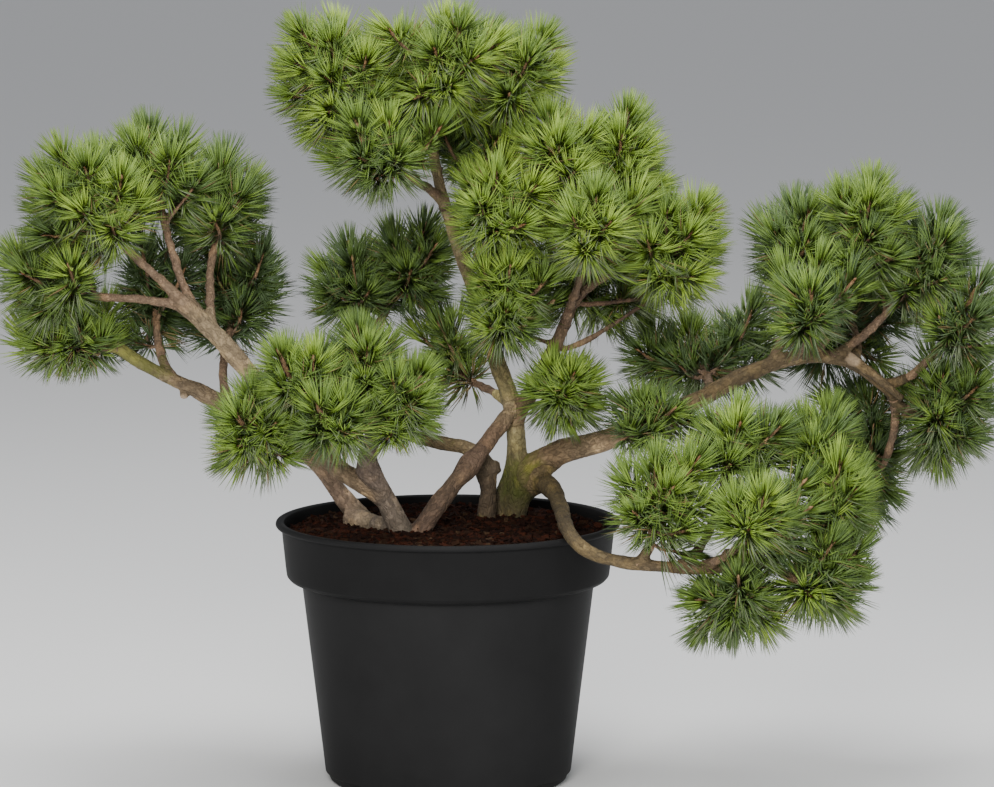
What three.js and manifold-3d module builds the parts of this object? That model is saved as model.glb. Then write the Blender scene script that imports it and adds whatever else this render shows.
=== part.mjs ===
// A multi-stemmed stone pine in a round nursery pot, as separate solids.
// Millimetres, +Z up. The origin is the middle of the pot's flat underside.
import * as THREE from 'three';
import { mergeVertices } from 'three/addons/utils/BufferGeometryUtils.js';
import Module from 'manifold-3d';

const wasm = await Module();
wasm.setup();

const up = new THREE.Vector3(0, 0, 1);
const tubeAxis = new THREE.Vector3(0, 1, 0);

// Gap left between pieces that touch, and the shortest edge that joining may leave.
const clearance = 0.3;
const smallestEdge = 0.03;
const mergeDistance = 0.001;

// The pot: a tapered wall, a deeper band under the rolled rim, a stepped foot and drain holes.
const pot = {
  height: 305,
  rimRadius: 200,
  rimDepth: 8,
  bandRadius: 193,
  bandFootRadius: 187,
  bandFootHeight: 243,
  bandUndercut: 3,
  bandUndercutDepth: 6,
  rimRound: 1.5,
  wallTopRadius: 169.5,
  wallTopHeight: 232,
  footRadius: 143,
  footHeight: 9,
  baseRadius: 138,
  wall: 3,
  sides: 40,
  holes: 6,
  holeRadius: 6,
  holeSides: 8,
  holeCircle: 112,
};

// The soil fills the pot nearly to the rim, level where the stems come out.
const soil = { level: 298, edge: 291.5, levelRadius: 158 };

// Routes run through stations, from root to tip. A radius swells by `flare` at the root,
// and `fullness` over 1 keeps it thick for longer before it tapers.
const routes = {
  trunk: {
    stations: [[73, 72, 286], [80, 71, 366], [74, 74, 429], [59, 68, 475], [43, 60, 528], [-8, 42, 684], [-25, 35, 801]],
    root: 13, tip: 4.5, flare: 6,
  },
  diagonal: {
    stations: [[-42, -58, 286], [-9, -38, 331], [24, 0, 367], [52, 38, 398], [74, 68, 426]],
    root: 10.5, tip: 9, flare: 3, knots: [{ at: 0.56, size: 4 }],
  },
  front: {
    stations: [[-46, -55, 284], [-70, -62, 337], [-92, -70, 379], [-86, -86, 412], [-83, -100, 444]],
    root: 11.5, tip: 6.5, flare: 4, fullness: 3, knots: [{ at: 0.55, size: 3 }],
  },
  left: {
    stations: [[-76, -64, 346], [-118, -58, 368], [-169, -48, 416], [-269, -30, 527], [-307, -25, 564]],
    root: 11.5, tip: 10, flare: 0, knots: [{ at: 0.97, size: 2 }],
  },
  side: {
    stations: [[-90, 27, 286], [-120, 18, 325], [-153, 10, 371], [-212, 10, 414], [-276, 15, 446],
      [-350, 8, 484], [-380, 2, 505]],
    root: 10.5, tip: 7, flare: 7, knots: [{ at: 0.7, size: 2.5 }],
  },
  rear: {
    stations: [[43, 48, 286], [46, 52, 340], [34, 64, 372], [-40, 108, 387], [-79, 130, 406],
      [-101, 148, 455], [-98, 158, 517]],
    root: 9.8, tip: 6, flare: 2, knots: [{ at: 0.2, size: 3.5 }],
  },
  right: {
    stations: [[93, 64, 353], [130, 50, 376], [177, 35, 391], [281, 20, 437], [344, 20, 471],
      [408, 20, 492], [466, 22, 486], [507, 26, 455], [531, 28, 429]],
    root: 14, tip: 6, flare: 7,
  },
  low: {
    stations: [[113, 50, 348], [127, -35, 333], [133, -108, 322], [137, -146, 315], [148, -167, 303],
      [165, -177, 293], [198, -184, 285], [250, -188, 280], [302, -189, 279], [348, -190, 287]],
    root: 10, tip: 6, flare: 3,
  },
  upper: {
    stations: [[77, 72, 411], [101, 62, 454], [125, 48, 503], [144, 38, 551], [162, 30, 602]],
    root: 9, tip: 6, flare: 3,
  },
};

// Each limb is a stretch of a route, from and to in shares of its length. It is cut clear of
// the limbs that it grows from or runs into.
const limbs = {
  trunk: { route: 'trunk', clearOf: [] },
  stem_diagonal: { route: 'diagonal', clearOf: ['trunk', 'stem_front'] },
  stem_front: { route: 'front', clearOf: [] },
  bough_left: { route: 'left', clearOf: ['stem_front'] },
  stem_side: { route: 'side', clearOf: [] },
  stem_rear: { route: 'rear', to: 0.22, clearOf: ['trunk'] },
  bough_back: { route: 'rear', from: 0.22, clearOf: ['stem_rear'] },
  bough_right: { route: 'right', to: 0.4, clearOf: ['trunk'] },
  bough_right_end: { route: 'right', from: 0.4, clearOf: ['bough_right'] },
  bough_low: { route: 'low', to: 0.5, clearOf: ['bough_right', 'trunk'] },
  bough_low_end: { route: 'low', from: 0.5, clearOf: ['bough_low'] },
  bough_upper: { route: 'upper', clearOf: ['trunk', 'stem_diagonal'] },
};

const limb = { sides: 7, step: 25, flareLength: 30, knotLength: 16 };

// Each mass of foliage: the limb that its stem leaves, how far along, its middle and its reach.
const masses = {
  top_left: { on: 'trunk', at: 0.93, middle: [-134, -20, 818], reach: [78, 85, 96] },
  top_middle: { on: 'trunk', at: 1, middle: [2, -14, 838], reach: [75, 88, 78] },
  top_right: { on: 'trunk', at: 0.89, middle: [90, 8, 821], reach: [64, 80, 76] },
  top_front: { on: 'trunk', at: 0.74, middle: [-83, -62, 738], reach: [77, 74, 70] },
  top_inner: { on: 'trunk', at: 0.68, middle: [36, 74, 722], reach: [56, 62, 58] },
  top_back: { on: 'trunk', at: 0.82, middle: [-40, 122, 806], reach: [118, 75, 80] },
  upper_left: { on: 'trunk', at: 0.6, middle: [51, -45, 675], reach: [62, 75, 70] },
  upper_low: { on: 'trunk', at: 0.41, middle: [66, -30, 550], reach: [59, 64, 70] },
  upper_crown: { on: 'bough_upper', at: 0.9, middle: [120, -20, 738], reach: [69, 80, 68] },
  upper_peak: { on: 'bough_upper', at: 1, middle: [201, 0, 735], reach: [62, 78, 73] },
  upper_right: { on: 'bough_upper', at: 0.76, middle: [267, -15, 623], reach: [67, 85, 86] },
  upper_front: { on: 'bough_upper', at: 0.62, middle: [164, -95, 657], reach: [70, 65, 70] },
  upper_back: { on: 'bough_upper', at: 0.68, middle: [180, 100, 604], reach: [112, 84, 118] },
  middle_small: { on: 'bough_upper', at: 0.2, middle: [132, -25, 457], reach: [66, 64, 65] },
  back_left: { on: 'bough_back', at: 0.98, middle: [-112, 160, 562], reach: [72, 90, 76] },
  back_middle: { on: 'bough_back', at: 0.84, middle: [-40, 150, 588], reach: [68, 90, 74] },
  back_low: { on: 'trunk', at: 0.26, middle: [12, 130, 463], reach: [52, 58, 57] },
  left_crown: { on: 'bough_left', at: 1, middle: [-411, -50, 684], reach: [91, 85, 84] },
  left_top: { on: 'bough_left', at: 0.9, middle: [-336, 5, 710], reach: [78, 90, 77] },
  left_shoulder: { on: 'bough_left', at: 0.82, middle: [-261, 35, 679], reach: [69, 90, 75] },
  left_tip: { on: 'bough_left', at: 0.94, middle: [-461, -25, 589], reach: [71, 80, 65] },
  left_low: { on: 'stem_side', at: 1, middle: [-441, 5, 511], reach: [83, 75, 50] },
  left_back: { on: 'stem_side', at: 0.6, middle: [-244, 110, 557], reach: [69, 80, 81] },
  left_inner: { on: 'stem_side', at: 0.8, middle: [-345, 95, 546], reach: [62, 66, 84] },
  front_left_tip: { on: 'bough_left', at: 0.42, middle: [-225, -140, 424], reach: [57, 70, 76] },
  front_left_mid: { on: 'stem_front', at: 0.93, middle: [-165, -150, 489], reach: [68, 75, 62] },
  front_left_top: { on: 'stem_front', at: 1, middle: [-96, -110, 509], reach: [61, 75, 60] },
  front_left_low: { on: 'stem_front', at: 0.84, middle: [-128, -172, 444], reach: [70, 68, 60] },
  front_left_end: { on: 'stem_front', at: 0.88, middle: [-40, -110, 459], reach: [52, 65, 65] },
  right_shoulder: { on: 'bough_right_end', at: 0.38, middle: [399, 35, 630], reach: [66, 85, 68] },
  right_top: { on: 'bough_right_end', at: 0.54, middle: [480, -5, 652], reach: [70, 95, 75] },
  right_crown: { on: 'bough_right_end', at: 0.62, middle: [550, 10, 607], reach: [70, 88, 78] },
  right_front: { on: 'bough_right_end', at: 0.46, middle: [410, -85, 557], reach: [57, 60, 61] },
  right_end: { on: 'bough_right_end', at: 0.86, middle: [596, -20, 540], reach: [59, 80, 77] },
  right_low: { on: 'bough_right_end', at: 1, middle: [580, 20, 416], reach: [66, 80, 80] },
  right_under: { on: 'bough_right_end', at: 0.93, middle: [490, 108, 350], reach: [62, 72, 98] },
  right_back: { on: 'bough_right_end', at: 0.1, middle: [290, 128, 482], reach: [110, 76, 65] },
  right_rear: { on: 'bough_right_end', at: 0.7, middle: [458, 128, 532], reach: [114, 70, 106] },
  low_near: { on: 'bough_right', at: 0.72, middle: [224, -62, 438], reach: [56, 56, 49] },
  low_left: { on: 'bough_low_end', at: 0.38, middle: [232, -190, 362], reach: [70, 66, 70] },
  low_crown: { on: 'bough_low_end', at: 0.6, middle: [322, -150, 423], reach: [61, 70, 58] },
  low_top: { on: 'bough_low_end', at: 0.77, middle: [424, -140, 422], reach: [54, 65, 58] },
  low_middle: { on: 'bough_low_end', at: 0.7, middle: [340, -245, 347], reach: [66, 65, 57] },
  low_right: { on: 'bough_low_end', at: 0.86, middle: [452, -165, 353], reach: [48, 70, 62] },
  low_end: { on: 'bough_low_end', at: 1, middle: [424, -190, 258], reach: [69, 70, 60] },
  low_tip: { on: 'bough_low_end', at: 0.94, middle: [322, -190, 235], reach: [82, 70, 60] },
};

// How the foliage grows: a stem, twigs off it, and at each twig's end a shoot, which is a slim
// core that needles stand out of all round.
const growth = {
  stemSides: 3,
  stemStep: 42,
  stemRadius: 5,
  stemTip: 4.6,
  stemEnd: 0.9,
  stemHandle: 0.3,
  leadRoot: 0.86,
  firstTwigRoot: 0.35,
  twigRootStep: 0.05,
  twigRadius: 2.2,
  twigTip: 1.9,
  coreSides: 3,
  coreLength: 21,
  coreRadii: [9, 7.5],
  needleLength: 56,
  needleWidth: 5.5,
  needleTip: 0.2,
  lengthRange: [0.9, 1.05],
  topShorter: 0.25,
  lean: [112, 22],
  leanSpread: 14,
  inward: -0.1,
  shortestNeedle: 0.55,
  shortenStep: 0.05,
};

// Where shoots may sit in a mass, and the gaps they keep.
const space = {
  squareness: 4,
  neighbourRange: 260,
  candidates: 26,
  lowestPlace: -0.75,
  poleLift: 0.6,
  upTurn: 0.3,
  tipToReach: 33,
  spacing: 47,
  mostShoots: 5,
  wallGap: 0.6,
  foreignGap: 1,
  ownGap: 0.5,
  needleGap: 0.3,
};

// A small seeded generator, so each mass grows the same way every time.
function makeRandom(seed) {
  let state = seed * 7919 + 17;
  return () => {
    state = (state * 1664525 + 1013904223) % 4294967296;
    return state / 4294967296;
  };
}

// Merged, index-only geometry as a solid that can be joined and cut.
function toSolid(geometry) {
  const bare = geometry.clone();
  bare.deleteAttribute('normal');
  bare.deleteAttribute('uv');
  const merged = mergeVertices(bare, mergeDistance);
  const corners = merged.index.array;
  const triVerts = [];
  for (let i = 0; i < corners.length; i += 3) {
    const [a, b, c] = [corners[i], corners[i + 1], corners[i + 2]];
    if (a !== b && b !== c && c !== a) triVerts.push(a, b, c);
  }
  return new wasm.Manifold(new wasm.Mesh({
    numProp: 3,
    vertProperties: new Float32Array(merged.getAttribute('position').array),
    triVerts: new Uint32Array(triVerts),
  }));
}

function toGeometry(solid) {
  const mesh = solid.getMesh();
  const geometry = new THREE.BufferGeometry();
  geometry.setAttribute('position', new THREE.BufferAttribute(mesh.vertProperties, 3));
  geometry.setIndex(new THREE.BufferAttribute(mesh.triVerts, 1));
  return geometry;
}

function largestOf(bodies) {
  return bodies.reduce((best, body) => (body.volume() > best.volume() ? body : best));
}

// The largest outer body of a solid, without the sealed hollows and slivers that joining leaves.
function outerBody(solid) {
  const largest = largestOf(solid.simplify(smallestEdge).decompose());
  return largestOf(toSolid(toGeometry(largest)).decompose());
}

function toMesh(name, solid, finish) {
  const geometry = toGeometry(solid);
  geometry.computeVertexNormals();
  const made = new THREE.Mesh(geometry, new THREE.MeshStandardMaterial(finish));
  made.name = name;
  return made;
}

// A tube of rings: each ring has a centre, a facing, a radius and a turn in its own plane.
function ringTube(rings, sides) {
  const geometry = new THREE.CylinderGeometry(1, 1, 1, sides, rings.length - 1);
  const position = geometry.getAttribute('position');
  const point = new THREE.Vector3();
  for (let i = 0; i < position.count; i += 1) {
    const ring = rings[Math.round((position.getY(i) + 0.5) * (rings.length - 1))];
    point.set(position.getX(i) * ring.radius, 0, position.getZ(i) * ring.radius);
    point.applyAxisAngle(tubeAxis, ring.turn ?? 0);
    point.applyQuaternion(ring.facing).add(ring.centre);
    position.setXYZ(i, point.x, point.y, point.z);
  }
  return geometry;
}

// Turns that carry a ring along a path without twisting it.
function facingsAlong(directions) {
  const facings = [new THREE.Quaternion().setFromUnitVectors(tubeAxis, directions[0])];
  for (let i = 1; i < directions.length; i += 1) {
    const bend = new THREE.Quaternion().setFromUnitVectors(directions[i - 1], directions[i]);
    facings.push(bend.multiply(facings[i - 1]));
  }
  return facings;
}

// Limbs: their routes as curves, and how thick they are along them.
const curves = {};
for (const [name, route] of Object.entries(routes)) {
  const points = route.stations.map((station) => new THREE.Vector3(...station));
  curves[name] = new THREE.CatmullRomCurve3(points, false, 'centripetal');
}

function routeRadius(name, share) {
  const route = routes[name];
  const length = curves[name].getLength();
  const taper = 1 - share ** (route.fullness ?? 1);
  let radius = route.tip + (route.root - route.tip) * taper;
  radius += route.flare * Math.exp((-share * length) / limb.flareLength);
  for (const knot of route.knots ?? []) {
    const away = ((share - knot.at) * length) / limb.knotLength;
    radius += knot.size * Math.exp(-away * away);
  }
  return radius;
}

// Rings of a limb, swollen by `extra` all round and lengthened by it at both ends.
function limbRings(name, extra = 0) {
  const { route, from = 0, to = 1 } = limbs[name];
  const curve = curves[route];
  const length = curve.getLength() * (to - from);
  const steps = Math.max(3, Math.round(length / limb.step));
  const shares = Array.from({ length: steps + 1 }, (_, i) => from + ((to - from) * i) / steps);
  const directions = shares.map((share) => curve.getTangentAt(share));
  const facings = facingsAlong(directions);
  return shares.map((share, i) => {
    const centre = curve.getPointAt(share);
    if (i === 0) centre.addScaledVector(directions[i], -extra);
    if (i === steps) centre.addScaledVector(directions[i], extra);
    return { centre, facing: facings[i], radius: routeRadius(route, share) + extra };
  });
}

// The same limb as straight capsules, to keep twigs and needles off it.
function limbCapsules(name) {
  const rings = limbRings(name);
  return rings.slice(1).map((ring, i) => ({
    line: new THREE.Line3(rings[i].centre, ring.centre),
    radius: Math.max(rings[i].radius, ring.radius),
    owner: name,
  }));
}

// Each limb made thicker by the clearance, to cut its neighbours with.
const swollen = {};
for (const name of Object.keys(limbs)) {
  const faceting = 1 / Math.cos(Math.PI / limb.sides);
  swollen[name] = toSolid(ringTube(limbRings(name, clearance * faceting), limb.sides));
}

// A stem that rises from the soil is cut flat just above it.
function buildLimb(name) {
  let solid = toSolid(ringTube(limbRings(name), limb.sides));
  for (const other of limbs[name].clearOf) solid = solid.subtract(swollen[other]);
  const rises = curves[limbs[name].route].getPoint(0).z < soil.level;
  if (rises) solid = solid.trimByPlane([0, 0, 1], soil.level + clearance);
  return outerBody(solid);
}

// A mass of foliage keeps to its reach and to its own side of a plane towards each neighbour.
function makeCells() {
  const cells = {};
  for (const [name, mass] of Object.entries(masses)) {
    const middle = new THREE.Vector3(...mass.middle);
    const reach = new THREE.Vector3(...mass.reach);
    cells[name] = { name, mass, middle, reach, walls: [] };
  }
  const reachAlong = (cell, direction) => 1 / direction.clone().divide(cell.reach).length();
  for (const cell of Object.values(cells)) {
    for (const other of Object.values(cells)) {
      const between = other.middle.clone().sub(cell.middle);
      const distance = between.length();
      if (other === cell || distance > space.neighbourRange) continue;
      between.normalize();
      const own = reachAlong(cell, between);
      const share = own / (own + reachAlong(other, between));
      const point = cell.middle.clone().addScaledVector(between, distance * share);
      cell.walls.push(new THREE.Plane().setFromNormalAndCoplanarPoint(between.clone().negate(), point));
    }
  }
  return cells;
}

// How far inside its cell a point is, as the nearest wall sees it.
function depthInside(cell, point) {
  return Math.min(...cell.walls.map((wall) => wall.distanceToPoint(point)));
}

// A point's place in its mass: 0 in the middle and 1 on the surface, which is an ellipsoid
// squared off a little, so that neighbouring masses close up.
function reachShare(offset, reach) {
  const parts = [offset.x / reach.x, offset.y / reach.y, offset.z / reach.z];
  const sum = parts.reduce((total, part) => total + Math.abs(part) ** space.squareness, 0);
  return sum ** (1 / space.squareness);
}

function insideReach(cell, point) {
  return reachShare(point.clone().sub(cell.middle), cell.reach) <= 1;
}

const nearA = new THREE.Vector3();
const nearB = new THREE.Vector3();

// The room left between two tapering rods, given as lines with a radius at each end.
function room(rod, other) {
  const apart = Math.sqrt(rod.line.distanceSqToLine3(other.line, nearA, nearB));
  const share = rod.line.closestPointToPointParameter(nearA, true);
  const otherShare = other.line.closestPointToPointParameter(nearB, true);
  const radius = rod.radius + ((rod.endRadius ?? rod.radius) - rod.radius) * share;
  const otherRadius = other.radius + ((other.endRadius ?? other.radius) - other.radius) * otherShare;
  return apart - radius - otherRadius;
}

function clearOfAll(rod, others, gap) {
  return others.every((other) => room(rod, other) >= gap);
}

// Places for shoots: a golden-angle spiral over the mass from its outer pole inwards.
function shootPlaces(cell, random) {
  const goldenAngle = Math.PI * (3 - Math.sqrt(5));
  const pole = cell.middle.clone().sub(cell.start).normalize();
  pole.addScaledVector(up, space.poleLift).normalize();
  const turn = new THREE.Quaternion().setFromUnitVectors(up, pole);
  const firstAngle = random() * Math.PI * 2;
  const inner = cell.reach.clone().subScalar(space.tipToReach);
  const places = [];
  for (let i = 0; i < space.candidates; i += 1) {
    const height = 1 - ((1 - space.lowestPlace) * i) / space.candidates;
    const around = firstAngle + i * goldenAngle;
    const flat = Math.sqrt(Math.max(0, 1 - height * height));
    const outward = new THREE.Vector3(Math.cos(around) * flat, Math.sin(around) * flat, height);
    outward.applyQuaternion(turn);
    const offset = outward.clone().multiply(inner);
    const tip = offset.divideScalar(reachShare(offset, inner)).add(cell.middle);
    const axis = outward.clone().divide(cell.reach).normalize().addScaledVector(up, space.upTurn);
    axis.normalize();
    const base = tip.clone().addScaledVector(axis, -growth.coreLength);
    places.push({ tip, axis, base });
  }
  return places;
}

// The stem runs from inside its limb to its first shoot, leaving along the limb.
function growStem(cell, lead) {
  const { route, from = 0, to = 1 } = limbs[cell.mass.on];
  const share = from + (to - from) * cell.mass.at;
  const along = curves[route].getTangentAt(share);
  const distance = cell.start.distanceTo(lead.base);
  const away = lead.base.clone().sub(cell.start).normalize().add(along).normalize();
  const first = cell.start.clone().addScaledVector(away, distance * growth.stemHandle);
  const second = lead.base.clone().addScaledVector(lead.axis, -distance * growth.stemHandle);
  const curve = new THREE.CubicBezierCurve3(cell.start, first, second, lead.base);
  const steps = Math.max(2, Math.round(distance / growth.stemStep));
  const shares = Array.from({ length: steps + 1 }, (_, i) => (growth.stemEnd * i) / steps);
  const facings = facingsAlong(shares.map((at) => curve.getTangentAt(at)));
  const rings = shares.map((at, i) => ({
    centre: curve.getPointAt(at),
    facing: facings[i],
    radius: growth.stemRadius + (growth.stemTip - growth.stemRadius) * at,
  }));
  cell.stem = { curve, rings };
  cell.stem.rods = rings.slice(1).map((ring, i) => ({
    line: new THREE.Line3(rings[i].centre, ring.centre),
    radius: rings[i].radius,
    endRadius: ring.radius,
    owner: cell.name,
  }));
}

const limbRods = Object.keys(limbs).flatMap(limbCapsules);
const cells = makeCells();

// Where the twig of a shoot leaves its stem: the point of the stem nearest to the shoot's back.
function twigRoot(cell, shoot) {
  const aim = shoot.base.clone().addScaledVector(shoot.axis, -growth.coreLength);
  let best = null;
  for (let share = growth.firstTwigRoot; share < growth.leadRoot; share += growth.twigRootStep) {
    const point = cell.stem.curve.getPointAt(share);
    const distance = point.distanceTo(aim);
    if (!best || distance < best.distance) best = { point, distance };
  }
  return best.point;
}

function rodOf(start, end, radius, endRadius) {
  return { line: new THREE.Line3(start.clone(), end.clone()), radius, endRadius };
}

function coreRod(shoot) {
  return rodOf(shoot.base, shoot.tip, growth.twigTip, growth.coreRadii[0]);
}

function twigRod(shoot) {
  return rodOf(shoot.root, shoot.base, growth.twigRadius, growth.twigTip);
}

function shootFits(cell, shoot, obstacles) {
  const depth = growth.coreRadii[0] + space.wallGap;
  if (depthInside(cell, shoot.tip) < depth || depthInside(cell, shoot.base) < depth) return false;
  return clearOfAll(coreRod(shoot), obstacles, space.foreignGap);
}

// Adds a shoot where its core and its twig keep off everything else.
function addShoot(cell, shoot, obstacles) {
  const crowded = cell.shoots.some((other) => other.tip.distanceTo(shoot.tip) < space.spacing);
  if (crowded || !shootFits(cell, shoot, obstacles)) return;
  shoot.root = twigRoot(cell, shoot);
  const twig = twigRod(shoot);
  const cores = cell.shoots.map(coreRod);
  const own = [...cores, ...cell.shoots.map(twigRod), ...cell.stem.rods];
  if (!clearOfAll(twig, obstacles, space.foreignGap)) return;
  if (!clearOfAll(twig, cores, space.ownGap)) return;
  if (clearOfAll(coreRod(shoot), own, space.ownGap)) cell.shoots.push(shoot);
}

// First every stem with its leading shoot, then the other shoots, so that twigs keep off all stems.
let seed = 0;
for (const cell of Object.values(cells)) {
  seed += 1;
  cell.random = makeRandom(seed);
  const { route, from = 0, to = 1 } = limbs[cell.mass.on];
  cell.start = curves[route].getPointAt(from + (to - from) * cell.mass.at);
  cell.places = shootPlaces(cell, cell.random);
  const lead = cell.places.find((place) => shootFits(cell, place, limbRods));
  growStem(cell, lead);
  lead.root = cell.stem.curve.getPointAt(growth.leadRoot);
  cell.shoots = [lead];
}
const stemRods = Object.values(cells).flatMap((cell) => cell.stem.rods);

for (const cell of Object.values(cells)) {
  const foreign = stemRods.filter((rod) => rod.owner !== cell.name);
  const obstacles = [...limbRods, ...foreign];
  for (const place of cell.places) {
    if (cell.shoots.length < space.mostShoots) addShoot(cell, place, obstacles);
  }
}

// A twig and its core as one slim tube. Each ring is turned half a side past the last one, so
// the faces between them interlock.
function shootFaces(shoot) {
  const spacing = growth.coreLength / growth.coreRadii.length;
  const along = shoot.base.clone().sub(shoot.root).normalize();
  const facings = facingsAlong([along, shoot.axis]);
  const halfSide = Math.PI / growth.coreSides;
  const rings = [{ centre: shoot.root, facing: facings[0], radius: growth.twigRadius }];
  [growth.twigTip, ...growth.coreRadii].forEach((radius, i) => {
    const centre = shoot.base.clone().addScaledVector(shoot.axis, i * spacing);
    rings.push({ centre, facing: facings[1], radius, turn: -(i + 1) * halfSide });
  });
  const geometry = ringTube(rings, growth.coreSides);
  geometry.deleteAttribute('normal');
  geometry.deleteAttribute('uv');
  const position = geometry.toNonIndexed().getAttribute('position');
  const corner = (i) => new THREE.Vector3().fromBufferAttribute(position, i);
  return Array.from({ length: position.count / 3 }, (_, i) => {
    return new THREE.Triangle(corner(3 * i), corner(3 * i + 1), corner(3 * i + 2));
  });
}

// Needles on offer: one from each side face of the core, leaning forward towards its tip,
// and one at the tip itself.
function needleOffers(cell, shoot) {
  const [widest, narrowest] = growth.lean;
  const [shortest, longest] = growth.lengthRange;
  const outward = shoot.tip.clone().sub(cell.middle).normalize();
  const offers = [];
  for (const face of shoot.faces) {
    const root = face.getMidpoint(new THREE.Vector3());
    const height = root.clone().sub(shoot.base).dot(shoot.axis) / growth.coreLength;
    const onSide = height > 0.05 && height < 0.99;
    if (!onSide) continue;
    const jitter = (cell.random() - 0.5) * growth.leanSpread;
    const lean = THREE.MathUtils.degToRad(widest + (narrowest - widest) * height + jitter);
    const out = root.clone().sub(shoot.base).projectOnPlane(shoot.axis).normalize();
    const direction = shoot.axis.clone().multiplyScalar(Math.cos(lean));
    direction.addScaledVector(out, Math.sin(lean));
    if (direction.dot(outward) < growth.inward) continue;
    offers.push({ shoot, face, root, height, direction });
  }
  offers.push({ shoot, face: null, root: shoot.tip, height: 1, direction: shoot.axis });
  for (const offer of offers) {
    const share = shortest + (longest - shortest) * cell.random() - (offer.face ? 0 : growth.topShorter);
    offer.length = growth.needleLength * share;
  }
  return offers;
}

// A needle as long as its cell allows, or nothing where it would be a stub or touch something.
function growNeedle(cell, offer, obstacles) {
  const tip = new THREE.Vector3();
  const others = cell.shoots.filter((shoot) => shoot !== offer.shoot);
  const own = others.flatMap((shoot) => [coreRod(shoot), twigRod(shoot), ...shoot.needles]);
  for (let share = 1; share >= growth.shortestNeedle; share -= growth.shortenStep) {
    tip.copy(offer.root).addScaledVector(offer.direction, offer.length * share);
    if (!insideReach(cell, tip) || depthInside(cell, tip) < space.wallGap) continue;
    const rod = rodOf(offer.root, tip, growth.needleWidth, growth.needleTip);
    if (!clearOfAll(rod, own, space.needleGap) || !clearOfAll(rod, obstacles, space.ownGap)) continue;
    offer.shoot.needles.push(rod);
    offer.tip = tip;
    return true;
  }
  return false;
}

// The shoot's faces. A face that carries a needle is drawn out to the needle's tip, and the
// middle of the core's end to the tip of the needle on it.
function shootSolid(shoot) {
  const points = [];
  for (const face of shoot.faces) {
    const needle = shoot.grown.find((offer) => offer.face === face);
    const corners = [face.a, face.b, face.c];
    if (needle) {
      corners.forEach((from, i) => points.push(from, corners[(i + 1) % 3], needle.tip));
      continue;
    }
    const isEnd = (point) => point.distanceTo(shoot.tip) < mergeDistance;
    points.push(...corners.map((point) => (isEnd(point) ? shoot.end : point)));
  }
  return toSolid(new THREE.BufferGeometry().setFromPoints(points));
}

// A mass: its stem and shoots as one body, cut clear of the limb that it grows from.
function buildMass(name) {
  const cell = cells[name];
  const foreign = stemRods.filter((rod) => rod.owner !== name);
  const obstacles = [...limbRods, ...foreign];
  for (const shoot of cell.shoots) {
    shoot.faces = shootFaces(shoot);
    shoot.needles = [];
    shoot.grown = [];
  }
  const offers = cell.shoots.flatMap((shoot) => needleOffers(cell, shoot));
  offers.sort((one, other) => other.height - one.height);
  for (const offer of offers) {
    const lead = offer.shoot === cell.shoots[0];
    const blocks = lead ? obstacles : [...obstacles, ...cell.stem.rods];
    if (growNeedle(cell, offer, blocks)) offer.shoot.grown.push(offer);
  }
  let solid = toSolid(ringTube(cell.stem.rings, growth.stemSides));
  for (const shoot of cell.shoots) {
    const top = shoot.grown.find((offer) => !offer.face);
    shoot.end = top ? top.tip : shoot.tip;
    solid = solid.add(shootSolid(shoot));
  }
  return outerBody(solid.subtract(swollen[cell.mass.on]));
}

// A solid turned round the upright axis from an outline of [radius, height] corners.
function turned(outline) {
  const points = outline.map(([radius, height]) => new THREE.Vector2(radius, height));
  return toSolid(new THREE.LatheGeometry(points, pot.sides).rotateX(Math.PI / 2));
}

// The inside of the pot from the middle of its floor to its mouth, drawn in by a gap all round.
function insideOutline(gap) {
  return [
    [0, pot.wall + gap],
    [pot.baseRadius - pot.wall - gap, pot.wall + gap],
    [pot.wallTopRadius - pot.wall - gap, pot.wallTopHeight],
    [pot.bandFootRadius - pot.wall - gap, pot.bandFootHeight],
    [pot.bandRadius - pot.wall - gap, pot.height - pot.rimDepth],
  ];
}

function buildPot() {
  const outside = [
    [0, 0],
    [pot.baseRadius, 0],
    [pot.baseRadius, pot.footHeight],
    [pot.footRadius, pot.footHeight],
    [pot.wallTopRadius, pot.wallTopHeight],
    [pot.bandFootRadius - pot.bandUndercut, pot.bandFootHeight - pot.bandUndercutDepth],
    [pot.bandFootRadius, pot.bandFootHeight],
    [pot.bandRadius, pot.height - pot.rimDepth - pot.rimRound],
    [pot.rimRadius - pot.rimRound, pot.height - pot.rimDepth],
    [pot.rimRadius, pot.height - pot.rimDepth / 2],
    [pot.rimRadius - pot.rimRound, pot.height],
    [pot.bandRadius - pot.wall + pot.rimRound, pot.height],
  ];
  let solid = turned([...outside, ...insideOutline(0).reverse()]);
  for (let i = 0; i < pot.holes; i += 1) {
    const drill = new THREE.CylinderGeometry(pot.holeRadius, pot.holeRadius, 4 * pot.wall, pot.holeSides);
    const angle = ((i + 0.5) * 2 * Math.PI) / pot.holes;
    drill.rotateX(Math.PI / 2);
    drill.translate(pot.holeCircle * Math.cos(angle), pot.holeCircle * Math.sin(angle), 0);
    solid = solid.subtract(toSolid(drill));
  }
  return solid;
}

// The soil stands a little more than the clearance off the wall, as both are faceted.
function buildSoil() {
  const sides = insideOutline(clearance * 1.2);
  const [low, high] = sides.slice(-2);
  const share = (soil.edge - low[1]) / (high[1] - low[1]);
  const edgeRadius = low[0] + (high[0] - low[0]) * share;
  return turned([
    ...sides.slice(0, -1),
    [edgeRadius, soil.edge],
    [soil.levelRadius, soil.level],
    [0, soil.level],
  ]);
}

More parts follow.
